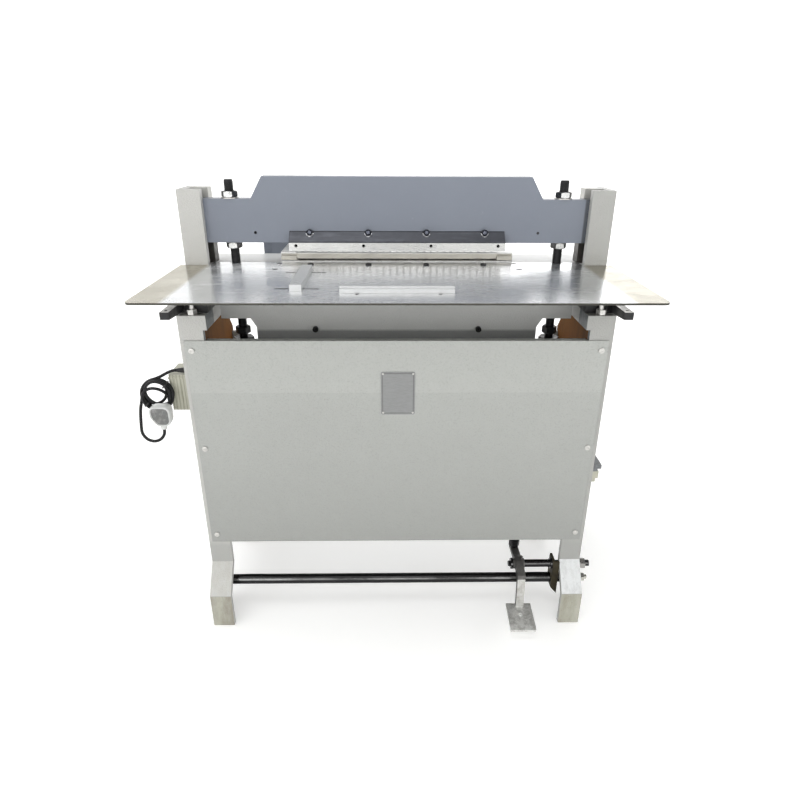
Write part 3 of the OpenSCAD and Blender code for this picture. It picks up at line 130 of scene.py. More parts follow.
floor_way = floor_paint.node_tree.nodes.new("ShaderNodeVectorMath")
floor_way.operation = "LENGTH"
floor_glow = floor_paint.node_tree.nodes.new("ShaderNodeMapRange")
for socket, value in (("From Min", 0.7), ("From Max", 3.5), ("To Min", 0.30), ("To Max", 0.62)):
    floor_glow.inputs[socket].default_value = value
floor_paint.node_tree.links.new(floor_place.outputs["Object"], floor_way.inputs[0])
floor_paint.node_tree.links.new(floor_way.outputs["Value"], floor_glow.inputs["Value"])
floor_paint.node_tree.links.new(floor_glow.outputs["Result"], floor_shader.inputs["Emission Strength"])
floor_mesh.materials.append(floor_paint)


# ---- Mains lead ----
# A round black rubber lead, wound by hand into a little over five turns and held by two ties, hangs beside
# its gland. Its loose ends are the stretch to the gland and the loop that holds up the plug.
class Wiring:
    """Nodes wired together, for a finish or for a piece of hardware."""

    def feed(self, socket, value):
        if isinstance(value, bpy.types.NodeSocket):
            self.tree.links.new(value, socket)
        else:
            socket.default_value = value

    def node(self, kind, settings=None, **inputs):
        """A node with its settings. Each input is a value or another node's output."""
        made = self.tree.nodes.new(kind)
        for key, value in (settings or {}).items():
            setattr(made, key, value)
        for socket, value in inputs.items():
            self.feed(made.inputs[socket.replace("_", " ")], value)
        return made

    def sum(self, operation, a, b):
        made = self.node("ShaderNodeMath", {"operation": operation})
        for socket, value in zip(made.inputs, (a, b)):
            self.feed(socket, value)
        return made.outputs["Value"]


class Finish(Wiring):
    """One node material, from its base colour up: each call adds a layer, the maker's surface and in places painted
    light and shade.
    """

    def __init__(self, name, colour, roughness=0.5, metallic=0.0, **steady):
        self.material = bpy.data.materials.new(name)
        self.material.use_nodes = True
        self.tree = self.material.node_tree
        self.shader = self.tree.nodes["Principled BSDF"]
        self.colour, self.height = (*colour, 1), None
        self.shader.inputs["Base Color"].default_value = self.colour
        self.shader.inputs["Roughness"].default_value = roughness
        self.shader.inputs["Metallic"].default_value = metallic
        for socket, value in steady.items():
            self.shader.inputs[socket.replace("_", " ")].default_value = value
        self.place = self.node("ShaderNodeTexCoord").outputs["Object"]

    def grain(self, scale, stretch=(1, 1, 1), detail=3, roughness=0.55, distortion=0.0):
        mapping = self.node("ShaderNodeMapping", Vector=self.place, Scale=stretch)
        return self.node("ShaderNodeTexNoise", Vector=mapping.outputs["Vector"], Scale=scale, Detail=detail,
                         Roughness=roughness, Distortion=distortion).outputs["Fac"]

    def cells(self, scale):
        return self.node("ShaderNodeTexVoronoi", Vector=self.place, Scale=scale).outputs["Distance"]

    def span(self, value, low, high, out_low=0.0, out_high=1.0):
        made = self.node("ShaderNodeMapRange", Value=value)
        for socket, number in (("From Min", low), ("From Max", high), ("To Min", out_low), ("To Max", out_high)):
            made.inputs[socket].default_value = number
        return made.outputs["Result"]

    def along(self, axis):
        split = self.node("ShaderNodeSeparateXYZ", Vector=self.place)
        return split.outputs[axis]

    def above(self, axis, level):
        """1 past a level on an axis, 0 before it."""
        return self.sum("GREATER_THAN", self.along(axis), level)

    def below(self, axis, level):
        return self.sum("LESS_THAN", self.along(axis), level)

    def away_from(self, axis, level=0.0):
        """Distance from a level on an axis, to either side."""
        return self.sum("ABSOLUTE", self.sum("SUBTRACT", self.along(axis), level), 0)

    def facing(self, axis, low, high):
        """1 where the surface faces along the axis, by the surface's own direction."""
        split = self.node("ShaderNodeSeparateXYZ", Vector=self.node("ShaderNodeNewGeometry").outputs["Normal"])
        return self.span(split.outputs[axis], low, high)

    def both(self, *masks):
        joined = masks[0]
        for mask in masks[1:]:
            joined = self.sum("MULTIPLY", joined, mask)
        return joined

    def spot(self, first, second, at_first, at_second, radius):
        """1 within the radius of a place in the plane of two axes."""
        away = [self.sum("POWER", self.sum("SUBTRACT", self.along(axis), at), 2.0)
                for axis, at in ((first, at_first), (second, at_second))]
        return self.sum("LESS_THAN", self.sum("ADD", *away), radius*radius)

    def tint(self, mask, colour):
        mix = self.node("ShaderNodeMix", {"data_type": "RGBA"}, Factor=mask)
        self.feed(mix.inputs[6], self.colour)
        mix.inputs[7].default_value = (*colour, 1)
        self.colour = mix.outputs[2]
        self.tree.links.new(self.colour, self.shader.inputs["Base Color"])
        return self

    def mottle(self, colour, low, high, most, *grain, **kind):
        """A tint through a grain: none where the grain is low, most of it where the grain is high."""
        return self.tint(self.span(self.grain(*grain, **kind), low, high, 0, most), colour)

    def polish(self, mask, low, high, **kind):
        """Roughness between low and high, by a mask or by a grain of that scale."""
        mask = mask if isinstance(mask, bpy.types.NodeSocket) else self.grain(mask, **kind)
        self.tree.links.new(self.span(mask, 0.3, 0.7, low, high), self.shader.inputs["Roughness"])
        return self

    def soften(self, radius):
        """Rounds every edge for the light, as a brush or a tumbler leaves it."""
        return self.relief(self.node("ShaderNodeBevel", {"samples": 4}, Radius=radius))

    def bump(self, height, depth, strength=1.0, **kind):
        """Raises the surface by a height, or by a grain of that scale."""
        height = height if isinstance(height, bpy.types.NodeSocket) else self.grain(height, **kind)
        made = self.node("ShaderNodeBump", Height=height, Distance=depth, Strength=strength)
        if self.height is not None:
            self.tree.links.new(self.height, made.inputs["Normal"])
        return self.relief(made)

    def relief(self, made):
        """Lets a bevel or bump node bend the light, and the next one go on from it."""
        self.height = made.outputs["Normal"]
        self.tree.links.new(self.height, self.shader.inputs["Normal"])
        return self


def paint_node(finish, *names):
    """Gives CAD nodes their finish."""
    for name in names:
        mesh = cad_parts[name].data
        mesh.materials.clear()
        mesh.materials.append(finish.material)


def piece(name, vertices, faces, finish, body, slot, smooth=False, stands_for=()):
    mesh = bpy.data.meshes.new(name)
    mesh.from_pydata([tuple(v) for v in vertices], [], faces)
    mesh.materials.append(finish.material)
    made = bpy.data.objects.new(name, mesh)
    bpy.context.scene.collection.objects.link(made)
    return settle(made, body, smooth, stands_for)


def settle(made, body, smooth=False, stands_for=()):
    """Closes doubles, points the faces outwards and lets the piece ride its body."""
    shell = bmesh.new()
    shell.from_mesh(made.data)
    bmesh.ops.remove_doubles(shell, verts=shell.verts, dist=1e-6)
    bmesh.ops.recalc_face_normals(shell, faces=shell.faces)
    shell.to_mesh(made.data)
    shell.free()
    if smooth:
        made.data.polygons.foreach_set("use_smooth", [True]*len(made.data.polygons))
    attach(made, body)
    if stands_for:
        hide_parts(*stands_for)
    return made


def lofted(rows):
    """Closed skin over rows of equally many points, from the first to the last."""
    count = len(rows[0])
    faces = [(i*count + k, i*count + (k + 1) % count, (i + 1)*count + (k + 1) % count, (i + 1)*count + k)
             for i in range(len(rows) - 1) for k in range(count)]
    faces += [tuple(reversed(range(count))), tuple(range((len(rows) - 1)*count, len(rows)*count))]
    return [point for row in rows for point in row], faces


def turned(profile, place, axis="Z", steps=48):
    """A shape turned on a lathe: (radius, height) points about an axis through place."""
    turn = {"Z": Matrix.Identity(3), "-X": Matrix(((0, 0, -1), (0, 1, 0), (1, 0, 0)))}[axis]
    return lofted([[turn @ Vector((radius*c, radius*s, height)) + Vector(place) for c, s in circle(steps)]
                   for radius, height in profile])


def merged(parts):
    """Several (points, faces) pairs as one."""
    points, faces = [], []
    for part_points, part_faces in parts:
        start = len(points)
        points += list(part_points)
        faces += [tuple(i + start for i in face) for face in part_faces]
    return points, faces


lead_thickness = 0.0066
lead_route = [(-0.480, -0.1400, 0.6570), (-0.486, -0.1404, 0.6568), (-0.492, -0.1418, 0.6558),
              (-0.498, -0.1440, 0.6539), (-0.504, -0.1466, 0.6513), (-0.510, -0.1489, 0.6484),
              (-0.5165, -0.1506, 0.6454), (-0.5245, -0.1514, 0.6423)]
tail_route = [(-0.5610, -0.1580, 0.591), (-0.5630, -0.1640, 0.577), (-0.5640, -0.1680, 0.563),
              (-0.5640, -0.1720, 0.550), (-0.5640, -0.1760, 0.533), (-0.5624, -0.1790, 0.5239),
              (-0.5578, -0.1810, 0.5160), (-0.5508, -0.1830, 0.5101), (-0.5421, -0.1840, 0.5069),
              (-0.5329, -0.1850, 0.5069), (-0.5242, -0.1850, 0.5101), (-0.5172, -0.1845, 0.5160),
              (-0.5126, -0.1840, 0.5239), (-0.5110, -0.1840, 0.533), (-0.5110, -0.1840, 0.537)]
# Each turn of the coil has its own size and touches the bundle's rim at another place
coil_middle, coil_rim, coil_half_depth, coil_turns = Vector((-0.5245, -0.157, 0.6065)), 0.0343, 0.0063, 5.31
coil_start, steps_a_turn, first_step = math.radians(69), 30, 3
slack_mean, slack_swing = 0.0050, 0.0042
coil_route = []
for step in range(first_step, int(coil_turns*steps_a_turn)):
    lap = step/steps_a_turn
    ends_near = min(lap, coil_turns - lap, 0.5)/0.5
    slack = (slack_mean + slack_swing*math.sin(2.3*lap*math.pi + 0.6))*ends_near
    lean = 1.9 + lap*2.4
    angle = coil_start + 2*math.pi*lap
    coil_route.append(coil_middle + Vector((
        (coil_rim - slack)*math.cos(angle) + slack*math.cos(lean),
        coil_half_depth*math.cos(lap*2.36 + 0.2),
        (coil_rim - slack)*math.sin(angle) + slack*math.sin(lean))))


def smooth_route(points, step):
    """A Catmull-Rom line through the points, with a point about every step."""
    points = [Vector(p) for p in points]
    ends = [points[0]*2 - points[1]] + points + [points[-1]*2 - points[-2]]
    line = []
    for p0, p1, p2, p3 in zip(ends, ends[1:], ends[2:], ends[3:]):
        pieces = max(1, round((p2 - p1).length/step))
        for k in range(pieces):
            t = k/pieces
            line.append(0.5*(2*p1 + (p2 - p0)*t + (2*p0 - 5*p1 + 4*p2 - p3)*t*t
                             + (3*p1 - p0 - 3*p2 + p3)*t*t*t))
    return line + [points[-1]]


lead_line = smooth_route([*lead_route, *coil_route, *tail_route], 0.004)


def tube(line, radius, sides):
    """A tube along a line, with rings that don't twist."""
    rings, side = [], Vector((0, 0, 1))
    for i, p in enumerate(line):
        way = (line[min(i + 1, len(line) - 1)] - line[max(i - 1, 0)]).normalized()
        side = (side - way*side.dot(way)).normalized()
        other = way.cross(side)
        rings.append([p + (side*c + other*s)*radius for c, s in circle(sides)])
    return lofted(rings)


lead_rubber = Finish("lead_rubber", (0.004, 0.004, 0.005), 0.4, Specular_IOR_Level=0.3)
lead_rubber.mottle((0.02, 0.019, 0.018), 0.50, 0.75, 0.4, 60, detail=5)
lead_rubber.polish(35, 0.34, 0.55)
lead_rubber.bump(900, 0.00012, detail=2)
lead = piece("mains_lead", *tube(lead_line, lead_thickness/2, 14), lead_rubber, "frame", "cord_rubber",
             smooth=True, stands_for=("cord_lead", "cord_coil", "cord_tail"))

# The gland's tapered sleeve is moulded with five ribs, so that the lead can't kink where it leaves the box
gland_plastic = Finish("gland_plastic", (0.015, 0.015, 0.016), 0.5)
gland_plastic.polish(80, 0.42, 0.6).bump(700, 0.0001)
gland_low, gland_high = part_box("cord_gland")
gland_face = Vector((-0.4575, (gland_low.y + gland_high.y)/2, 0.657))
gland_profile = [(0.0, 0.0), (0.0085, 0.0), (0.0085, 0.0032), (0.0078, 0.004), (0.0064, 0.004)]
sleeve_ribs, rib_spacing, rib_shrink, groove_depth = 5, 0.0032, 0.00042, 0.0011
for rib in range(sleeve_ribs):
    at, size = 0.0052 + rib*rib_spacing, 0.0063 - rib*rib_shrink
    gland_profile += [(size, at), (size, at + 0.0018),
                      (size - groove_depth, at + 0.0021), (size - groove_depth, at + 0.0031)]
gland_profile += [(0.0043, 0.0222), (0.0041, 0.0225), (0.0, 0.0225)]
strain_relief = piece("strain_relief", *turned(gland_profile, gland_face, "-X", 32), gland_plastic,
                      "frame", "black_plastic", stands_for=("cord_gland",))

# Two flat ties are pulled round the bundle
tie_plastic = Finish("tie_plastic", (0.02, 0.02, 0.02), 0.35)
tie_plastic.mottle((0.05, 0.05, 0.05), 0.5, 0.7, 1, 120)
tie_reach, tie_half_y, tie_half_r, tie_half_width, tie_thickness = 0.0312, 0.0104, 0.0072, 0.0015, 0.0007
tie_steps, tie_squareness = 40, 0.6
tie_bands = []
for tie_angle in (math.radians(48), math.radians(221)):
    outward = Vector((math.cos(tie_angle), 0, math.sin(tie_angle)))
    forward = Vector((-math.sin(tie_angle), 0, math.cos(tie_angle)))
    centre = coil_middle + outward*tie_reach
    band_points, band_faces = [], []
    for k, (c, s) in enumerate(circle(tie_steps)):
        p = (centre + Vector((0, 1, 0))*tie_half_y*math.copysign(abs(c)**tie_squareness, c)
             + outward*tie_half_r*math.copysign(abs(s)**tie_squareness, s))
        out = (p - centre).normalized()
        for along, thick in ((-tie_half_width, 0), (-tie_half_width, tie_thickness),
                             (tie_half_width, tie_thickness), (tie_half_width, 0)):
            band_points.append(p + forward*along + out*thick)
        for j in range(4):
            beside, ahead_k = (j + 1) % 4, (k + 1) % tie_steps
            band_faces.append((k*4 + j, k*4 + beside, ahead_k*4 + beside, ahead_k*4 + j))
    tie_bands.append((band_points, band_faces))
lead_ties = piece("lead_ties", *merged(tie_bands), tie_plastic, "frame", "black_plastic")

# ---- Mains plug ----
# A moulded white plug with finger ribs in its grey face and three flat brass pins in its back. The lead comes
# in from below through a moulded neck.
plug_plastic = Finish("plug_plastic", (0.60, 0.61, 0.60), 0.38, Coat_Weight=0.2)
plug_plastic.mottle((0.35, 0.34, 0.31), 0.52, 0.72, 0.55, 40, detail=6)
plug_plastic.polish(90, 0.3, 0.5).bump(600, 0.00012)
plug_low, plug_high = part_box("mains_plug")
plug_outline = [(-0.5330, 0.5885), (-0.5275, 0.5942), (-0.4965, 0.5942), (-0.4890, 0.5870), (-0.4890, 0.5575),
                (-0.4950, 0.5490), (-0.5150, 0.5485), (-0.5210, 0.5520), (-0.5330, 0.5700)]


def rounded(outline, inset, radius, steps=5):
    """The outline moved inwards, with its corners rounded."""
    count = len(outline)
    centre = Vector((sum(p[0] for p in outline), sum(p[1] for p in outline)))/count
    shrunk = [Vector(p) + (centre - Vector(p)).normalized()*inset for p in outline]
    line = []
    for i, corner in enumerate(shrunk):
        before, after = (shrunk[i - 1] - corner), (shrunk[(i + 1) % count] - corner)
        start = corner + before.normalized()*min(radius, before.length*0.45)
        end = corner + after.normalized()*min(radius, after.length*0.45)
        line += [start.lerp(corner, t).lerp(corner.lerp(end, t), t) for t in (k/steps for k in range(steps + 1))]
    return line


plug_front, plug_back = plug_low.y, plug_high.y
plug_rows = []
for inset, y in ((0.0042, plug_front + 0.0030), (0.0038, plug_front + 0.0004), (0.0030, plug_front),
                 (0.0012, plug_front + 0.0008), (0.0002, plug_front + 0.0030), (0.0, plug_front + 0.0120),
                 (0.0006, plug_back - 0.0090), (0.0022, plug_back - 0.0030), (0.0050, plug_back - 0.0004),
                 (0.0070, plug_back)):
    plug_rows.append([(p.x, y, p.y) for p in rounded(plug_outline, inset, 0.006)])
plug_neck, neck_x, neck_y, neck_steps = [], -0.511, -0.184, 24
for radius, z in ((0.0038, plug_low.z), (0.0058, plug_low.z + 0.0004), (0.0062, plug_low.z + 0.0030),
                  (0.0074, plug_low.z + 0.0085), (0.0092, plug_low.z + 0.0150)):
    plug_neck.append([(neck_x + radius*c, neck_y + radius*s, z) for c, s in circle(neck_steps)])
plug = piece("plug_body", *merged([lofted(plug_rows), lofted(plug_neck)]), plug_plastic, "frame", "plug_plastic",
             smooth=True, stands_for=("mains_plug",))

# The face inside the white rim is grey, with a row of small ribs. The two on the left are shorter.
plug_insert = Finish("plug_insert", (0.17, 0.172, 0.168), 0.5)
plug_insert.mottle((0.34, 0.34, 0.33), 0.5, 0.7, 0.6, 120, detail=6)
plug_insert.polish(200, 0.4, 0.6).bump(420, 0.0004, detail=3)
insert_rows = [[(p.x, y, p.y) for p in rounded(plug_outline, inset, 0.005)]
               for inset, y in ((0.0046, plug_front + 0.0034), (0.0046, plug_front + 0.0016))]
insert_parts = [lofted(insert_rows)]
rib_width, rib_height, short_by = 0.0014, 0.0300, 0.0080
for i in range(6):
    cut = short_by if i < 2 else 0.0
    x0, z0 = -0.5255 + i*0.0058, 0.5560 + cut
    rib = [(x0, z0), (x0 + rib_width, z0), (x0 + rib_width, z0 + rib_height - cut), (x0, z0 + rib_height - cut)]
    insert_parts.append(lofted([[(x, y, z) for x, z in rib] for y in (plug_front + 0.0018, plug_front + 0.0005)]))
plug_face = piece("plug_face", *merged(insert_parts), plug_insert, "frame", "grey_plastic")

# Two slanted flat pins and a straight earth pin stand out of the back
pin_metal = Finish("pin_metal", (0.66, 0.60, 0.45), 0.25, 1.0)
pin_metal.mottle((0.42, 0.36, 0.24), 0.48, 0.7, 0.7, 150, detail=5)
pin_metal.polish(300, 0.18, 0.4)
pin_parts, pin_half_w, pin_half_t = [], 0.00315, 0.00075
for pin_x, pin_z, slant in ((-0.5185, 0.5555, 30), (-0.5035, 0.5555, -30), (-0.511, 0.5660, 90)):
    c, s = math.cos(math.radians(slant)), math.sin(math.radians(slant))
    rows = []
    for size, y in ((1.0, plug_back - 0.004), (1.0, plug_back + 0.0140), (0.7, plug_back + 0.0158)):
        rows.append([(pin_x + (u*c - v*s)*size, y, pin_z + (u*s + v*c)*size)
                     for u, v in ((-pin_half_w, -pin_half_t), (pin_half_w, -pin_half_t),
                                  (pin_half_w, pin_half_t), (-pin_half_w, pin_half_t))])
    pin_parts.append(lofted(rows))
plug_pins = piece("plug_pins", *merged(pin_parts), pin_metal, "frame", "zinc_steel")

# ---- Side frames ----
# Welded sheet steel, sprayed with a light grey textured enamel. Each is a leg, a plate and a column in one
# weldment. Their inner walls keep the brown primer.
enamel_grey = (0.478, 0.476, 0.456)


def textured_enamel(name, colour, grain=420):
    made = Finish(name, colour, 0.42, Coat_Weight=0.2, Coat_Roughness=0.35).soften(0.0016)
    cloud = made.grain(3.5, detail=6)
    made.tint(made.span(cloud, 0.35, 0.75, 0, 0.35), tuple(c*0.86 for c in colour))
    made.mottle(tuple(c*0.72 for c in colour), 0.60, 0.80, 0.4, 38, detail=8, roughness=0.7)
    peel = made.grain(grain, detail=2, roughness=0.5)
    made.polish(60, 0.36, 0.55)
    made.bump(made.span(peel, 0.42, 0.62), 0.00045, 0.7)
    made.bump(26, 0.0012, 0.35, detail=3)
    return made


frame_enamel = textured_enamel("frame_enamel", enamel_grey, 330)
# Painted shade: the frames darken towards the right, as the light falls from the left
painted_shade_right = frame_enamel.span(frame_enamel.along("X"), -0.3, 0.3, 0, 0.55)
frame_enamel.tint(painted_shade_right, (0.285, 0.288, 0.276))
# The legs are darker below the cover, carry a painted highlight on their upward slopes and are stained at the toe
cover_foot, toe_top, slope_top = (0.225, 0.205), 0.0905, 0.160
below_cover = frame_enamel.span(frame_enamel.along("Z"), *cover_foot, 0, 0.75)
frame_enamel.tint(below_cover, (0.315, 0.318, 0.305))
on_slope = frame_enamel.both(frame_enamel.facing("Z", 0.3, 0.45), frame_enamel.above("Z", 0.090),
                             frame_enamel.below("Z", slope_top))
# Painted highlight on the upward slopes, broken up by a grain
slope_highlight_grain = frame_enamel.span(frame_enamel.grain(55, stretch=(1.5, 1, 0.5), detail=9, roughness=0.75),
                            0.28, 0.55, 0.55, 1)
frame_enamel.tint(frame_enamel.both(on_slope, slope_highlight_grain), (0.76, 0.775, 0.78))
on_toe = frame_enamel.both(frame_enamel.facing("Y", -0.35, -0.55), frame_enamel.below("Z", toe_top))
frame_enamel.tint(on_toe, (0.40, 0.395, 0.335))
toe_stain = frame_enamel.span(frame_enamel.grain(16, stretch=(1.4, 1, 0.35), detail=8, roughness=0.7), 0.46, 0.68)
frame_enamel.tint(frame_enamel.both(on_toe, toe_stain), (0.255, 0.245, 0.185))
chips = frame_enamel.span(frame_enamel.grain(150, detail=9, roughness=0.8), 0.60, 0.64)
near_floor = frame_enamel.span(frame_enamel.along("Z"), 0.0, 0.20, 1, 0)
frame_enamel.tint(frame_enamel.both(near_floor, chips), (0.11, 0.10, 0.085))
# The shoulders' inner sides under the table are tinted near black
shoulder_inside, shoulder_outside, shoulder_low, shoulder_high, shoulder_back = 0.384, 0.4408, 0.70, 0.8665, -0.1005
off_middle = frame_enamel.away_from("X")
facing_y = frame_enamel.facing("Y", -1, 1)
shoulder_inside_dark = frame_enamel.both(
    frame_enamel.sum("GREATER_THAN", off_middle, shoulder_inside),
    frame_enamel.sum("LESS_THAN", off_middle, shoulder_outside),
    frame_enamel.above("Z", shoulder_low), frame_enamel.below("Z", shoulder_high),
    frame_enamel.below("Y", shoulder_back),
    frame_enamel.sum("LESS_THAN", facing_y, 0.9), frame_enamel.sum("GREATER_THAN", facing_y, 0.1),
    frame_enamel.facing("Z", 0.7, 0.5))
frame_enamel.tint(shoulder_inside_dark, (0.062, 0.072, 0.076))
# The left leg's slope gets a dimmer painted highlight, and its toe a heavier stain
left_leg = frame_enamel.below("X", 0.0)
frame_enamel.tint(frame_enamel.both(left_leg, on_slope, slope_highlight_grain), (0.50, 0.495, 0.465))
left_stain = frame_enamel.span(frame_enamel.grain(11, stretch=(1.4, 1, 0.5), detail=8, roughness=0.7),
                               0.40, 0.62, 0, 0.9)
frame_enamel.tint(frame_enamel.both(left_leg, on_toe, left_stain), (0.215, 0.195, 0.155))
paint_node(frame_enamel, "left_side_frame", "right_side_frame")

# The insides of the plates were never sprayed grey: a thin coat of brown primer, matt and streaked
bare_primer = Finish("bare_primer", (0.150, 0.058, 0.010), 0.85, Specular_IOR_Level=0.12)
streaks = bare_primer.grain(9, stretch=(1, 1.6, 0.3), detail=8, roughness=0.65)
bare_primer.tint(bare_primer.span(streaks, 0.42, 0.72, 0, 0.85), (0.050, 0.028, 0.012))
bare_primer.mottle((0.30, 0.20, 0.10), 0.63, 0.72, 0.6, 120, detail=8, roughness=0.8)
bare_primer.bump(420, 0.0003, 0.6)
inner_wall, coat_stand_off, coat_thickness, coat_top, coat_front = 0.4415, 0.00012, 0.0001, 0.8645, -0.1605
coat = bmesh.new()
for side_name in ("left_side_frame", "right_side_frame"):
    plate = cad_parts[side_name].data
    for polygon in plate.polygons:
        if abs(polygon.normal.x) > 0.99 and abs(abs(polygon.center.x) - inner_wall) < 0.0003:
            inward = -math.copysign(coat_stand_off, polygon.center.x)
            corners = [plate.vertices[i].co for i in polygon.vertices]
            if max(c.z for c in corners) < coat_top and min(c.y for c in corners) > coat_front:
                coat.faces.new([coat.verts.new((c.x + inward, c.y, c.z)) for c in corners])
bmesh.ops.remove_doubles(coat, verts=coat.verts, dist=0.00001)
bmesh.ops.solidify(coat, geom=coat.faces[:], thickness=coat_thickness)
bmesh.ops.recalc_face_normals(coat, faces=coat.faces[:])
coat_mesh = bpy.data.meshes.new("primer_coat")
coat.to_mesh(coat_mesh)
coat.free()
piece("primer_coat", [tuple(v.co) for v in coat_mesh.vertices], [tuple(f.vertices) for f in coat_mesh.polygons],
      bare_primer, "frame", "primer")
bpy.data.meshes.remove(coat_mesh)

# ---- Front cover ----
# One folded sheet with a hammered light grey finish and a soft crease across its middle. Six pan head screws
# hold it on the side frames.
cover_enamel = textured_enamel("cover_enamel", (0.400, 0.410, 0.392), 250)
crease_z = 0.612
cover_height = cover_enamel.along("Z")
crease = cover_enamel.away_from("Z", crease_z)
cover_enamel.bump(cover_enamel.span(crease, 0.0, 0.004, 0, 1), 0.0008, 0.25)
cover_enamel.bump(2.2, 0.012, 0.25, detail=1)
# Painted shade: the cover darkens towards its foot, as the light falls from above
cover_enamel.tint(cover_enamel.span(cover_height, 0.62, 0.22, 0, 0.9), (0.285, 0.292, 0.278))
# Painted light: the part above the crease is lighter, as if lit from above
painted_light_above_crease = cover_enamel.span(cover_height, crease_z - 0.0005, crease_z + 0.0005, 0, 1)
cover_enamel.tint(cover_enamel.sum("MULTIPLY", painted_light_above_crease, 0.35), (0.46, 0.472, 0.45))
cover_enamel.mottle((0.245, 0.255, 0.24), 0.54, 0.66, 0.45, 330, detail=3, roughness=0.8)
paint_node(cover_enamel, "front_cover")


class Hardware(Wiring):
    """A Geometry Nodes tree that makes one piece of hardware from its sizes and sets it on every seat."""

    def __init__(self, name, sizes):
        self.tree = bpy.data.node_groups.new(name, "GeometryNodeTree")
        socket = self.tree.interface.new_socket
        socket(name="Seats", in_out="INPUT", socket_type="NodeSocketGeometry")
        for label, value in sizes.items():
            socket(name=label, in_out="INPUT", socket_type="NodeSocketFloat").default_value = value
        socket(name="Finish", in_out="INPUT", socket_type="NodeSocketMaterial")
        socket(name="Made", in_out="OUTPUT", socket_type="NodeSocketGeometry")
        self.given = self.tree.nodes.new("NodeGroupInput").outputs
        self.result = self.tree.nodes.new("NodeGroupOutput").inputs

    def form(self, kind, settings=None, **inputs):
        """The geometry that comes out of a geometry node."""
        return self.node("GeometryNode" + kind, settings, **inputs).outputs[0]

    def boolean(self, operation, *forms):
        """Forms united or intersected, or the first one less the others."""
        made = self.node("GeometryNodeMeshBoolean", {"operation": operation, "solver": "EXACT"})
        for i, form in enumerate(forms):
            self.tree.links.new(form, made.inputs[0 if operation == "DIFFERENCE" and i == 0 else 1])
        return made.outputs[0]

    def vector(self, **parts):
        return self.node("ShaderNodeCombineXYZ", **parts).outputs[0]

    def wound(self, turns, radius, length, wire, steps, sides):
        """Wire wound round the seat's axis."""
        way = self.form("CurveSpiral", Resolution=steps, Rotations=turns, Start_Radius=radius, End_Radius=radius,
                        Height=length)
        section = self.form("CurvePrimitiveCircle", {"mode": "RADIUS"}, Resolution=sides, Radius=wire)
        return self.form("CurveToMesh", Curve=way, Profile_Curve=section, Fill_Caps=True)

    def repeat(self, form):
        """Sets the form on every seat, turned the seat's way, as real faces with their finish."""
        way = self.form("InputNamedAttribute", {"data_type": "FLOAT_VECTOR"}, Name="way")
        turn = self.node("FunctionNodeAlignRotationToVector", {"axis": "Z"}, Vector=way).outputs[0]
        copies = self.form("InstanceOnPoints", Points=self.given["Seats"], Instance=form, Rotation=turn)
        real = self.form("RealizeInstances", Geometry=copies)
        self.tree.links.new(self.form("SetMaterial", Geometry=real, Material=self.given["Finish"]), self.result[0])


def bake(name, hardware, seats, sizes, finish, body, way=(0, 0, 1), smooth=False, stands_for=()):
    """Sets the hardware on its seats, a list of places, and keeps the result as a plain mesh."""
    mesh = bpy.data.meshes.new(name)
    mesh.from_pydata(seats, [], [])
    ways = mesh.attributes.new("way", "FLOAT_VECTOR", "POINT")
    for seat in ways.data:
        seat.vector = way
    made = bpy.data.objects.new(name, mesh)
    bpy.context.scene.collection.objects.link(made)
    work = made.modifiers.new("work", "NODES")
    work.node_group = hardware.tree
    for item in hardware.tree.interface.items_tree:
        if item.in_out == "INPUT" and item.name in sizes:
            work[item.identifier] = sizes[item.name]
        if item.in_out == "INPUT" and item.name == "Finish":
            work[item.identifier] = finish.material
    bpy.context.view_layer.update()
    done = bpy.data.meshes.new_from_object(made.evaluated_get(bpy.context.evaluated_depsgraph_get()))
    made.modifiers.clear()
    made.data = done
    return settle(made, body, smooth, stands_for)


# A pan head: a low domed cylinder with a crossed recess
pan = Hardware("pan_head_screws", {"Head Radius": 0.0055, "Head Height": 0.003, "Slot Width": 0.0012})
pan_steps, pan_top_radius, pan_dome_height = 28, 0.0036, 0.0009
slot_length, slot_depth, slot_at = 0.0062, 0.0030, 0.0026
pan_radius, pan_height, slot_width = (pan.given[label] for label in ("Head Radius", "Head Height", "Slot Width"))
pan_disc = pan.form("MeshCylinder", Vertices=pan_steps, Radius=pan_radius, Depth=pan_height)
pan_dome = pan.form("MeshCone", Vertices=pan_steps, Radius_Bottom=pan_radius, Radius_Top=pan_top_radius,
                    Depth=pan_dome_height)
pan_domed = pan.form("Transform", Geometry=pan_dome, Translation=pan.vector(Z=pan.sum("MULTIPLY", pan_height, 0.5)))
pan_head = pan.boolean("UNION", pan_domed, pan_disc)
pan_slots = [pan.form("Transform", Geometry=pan.form("MeshCube", Size=pan.vector(Z=slot_depth, **sides)),
                      Translation=(0, 0, slot_at))
             for sides in ({"X": slot_width, "Y": slot_length}, {"Y": slot_width, "X": slot_length})]
pan.repeat(pan.boolean("DIFFERENCE", pan_head, *pan_slots))

zinc = Finish("zinc", (0.62, 0.61, 0.59), 0.28, 1.0).soften(0.0006)
zinc.mottle((0.42, 0.415, 0.40), 0.45, 0.7, 0.6, 220, detail=4)
zinc.polish(300, 0.24, 0.48)
cover_low, cover_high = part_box("front_cover")
cover_screw_x, edge_gap, head_sunk = 0.4355, 0.022, 0.0011
screw_heights = (cover_low.z + edge_gap, (cover_low.z + cover_high.z)/2, cover_high.z - edge_gap)
cover_screws = bake("cover_screw_heads", pan,
                    [(side*cover_screw_x, cover_low.y - head_sunk, z) for side in (-1, 1) for z in screw_heights],
                    {"Head Radius": 0.0062, "Head Height": 0.0022}, zinc, "frame", way=(0, -1, 0))
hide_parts("cover_screws")
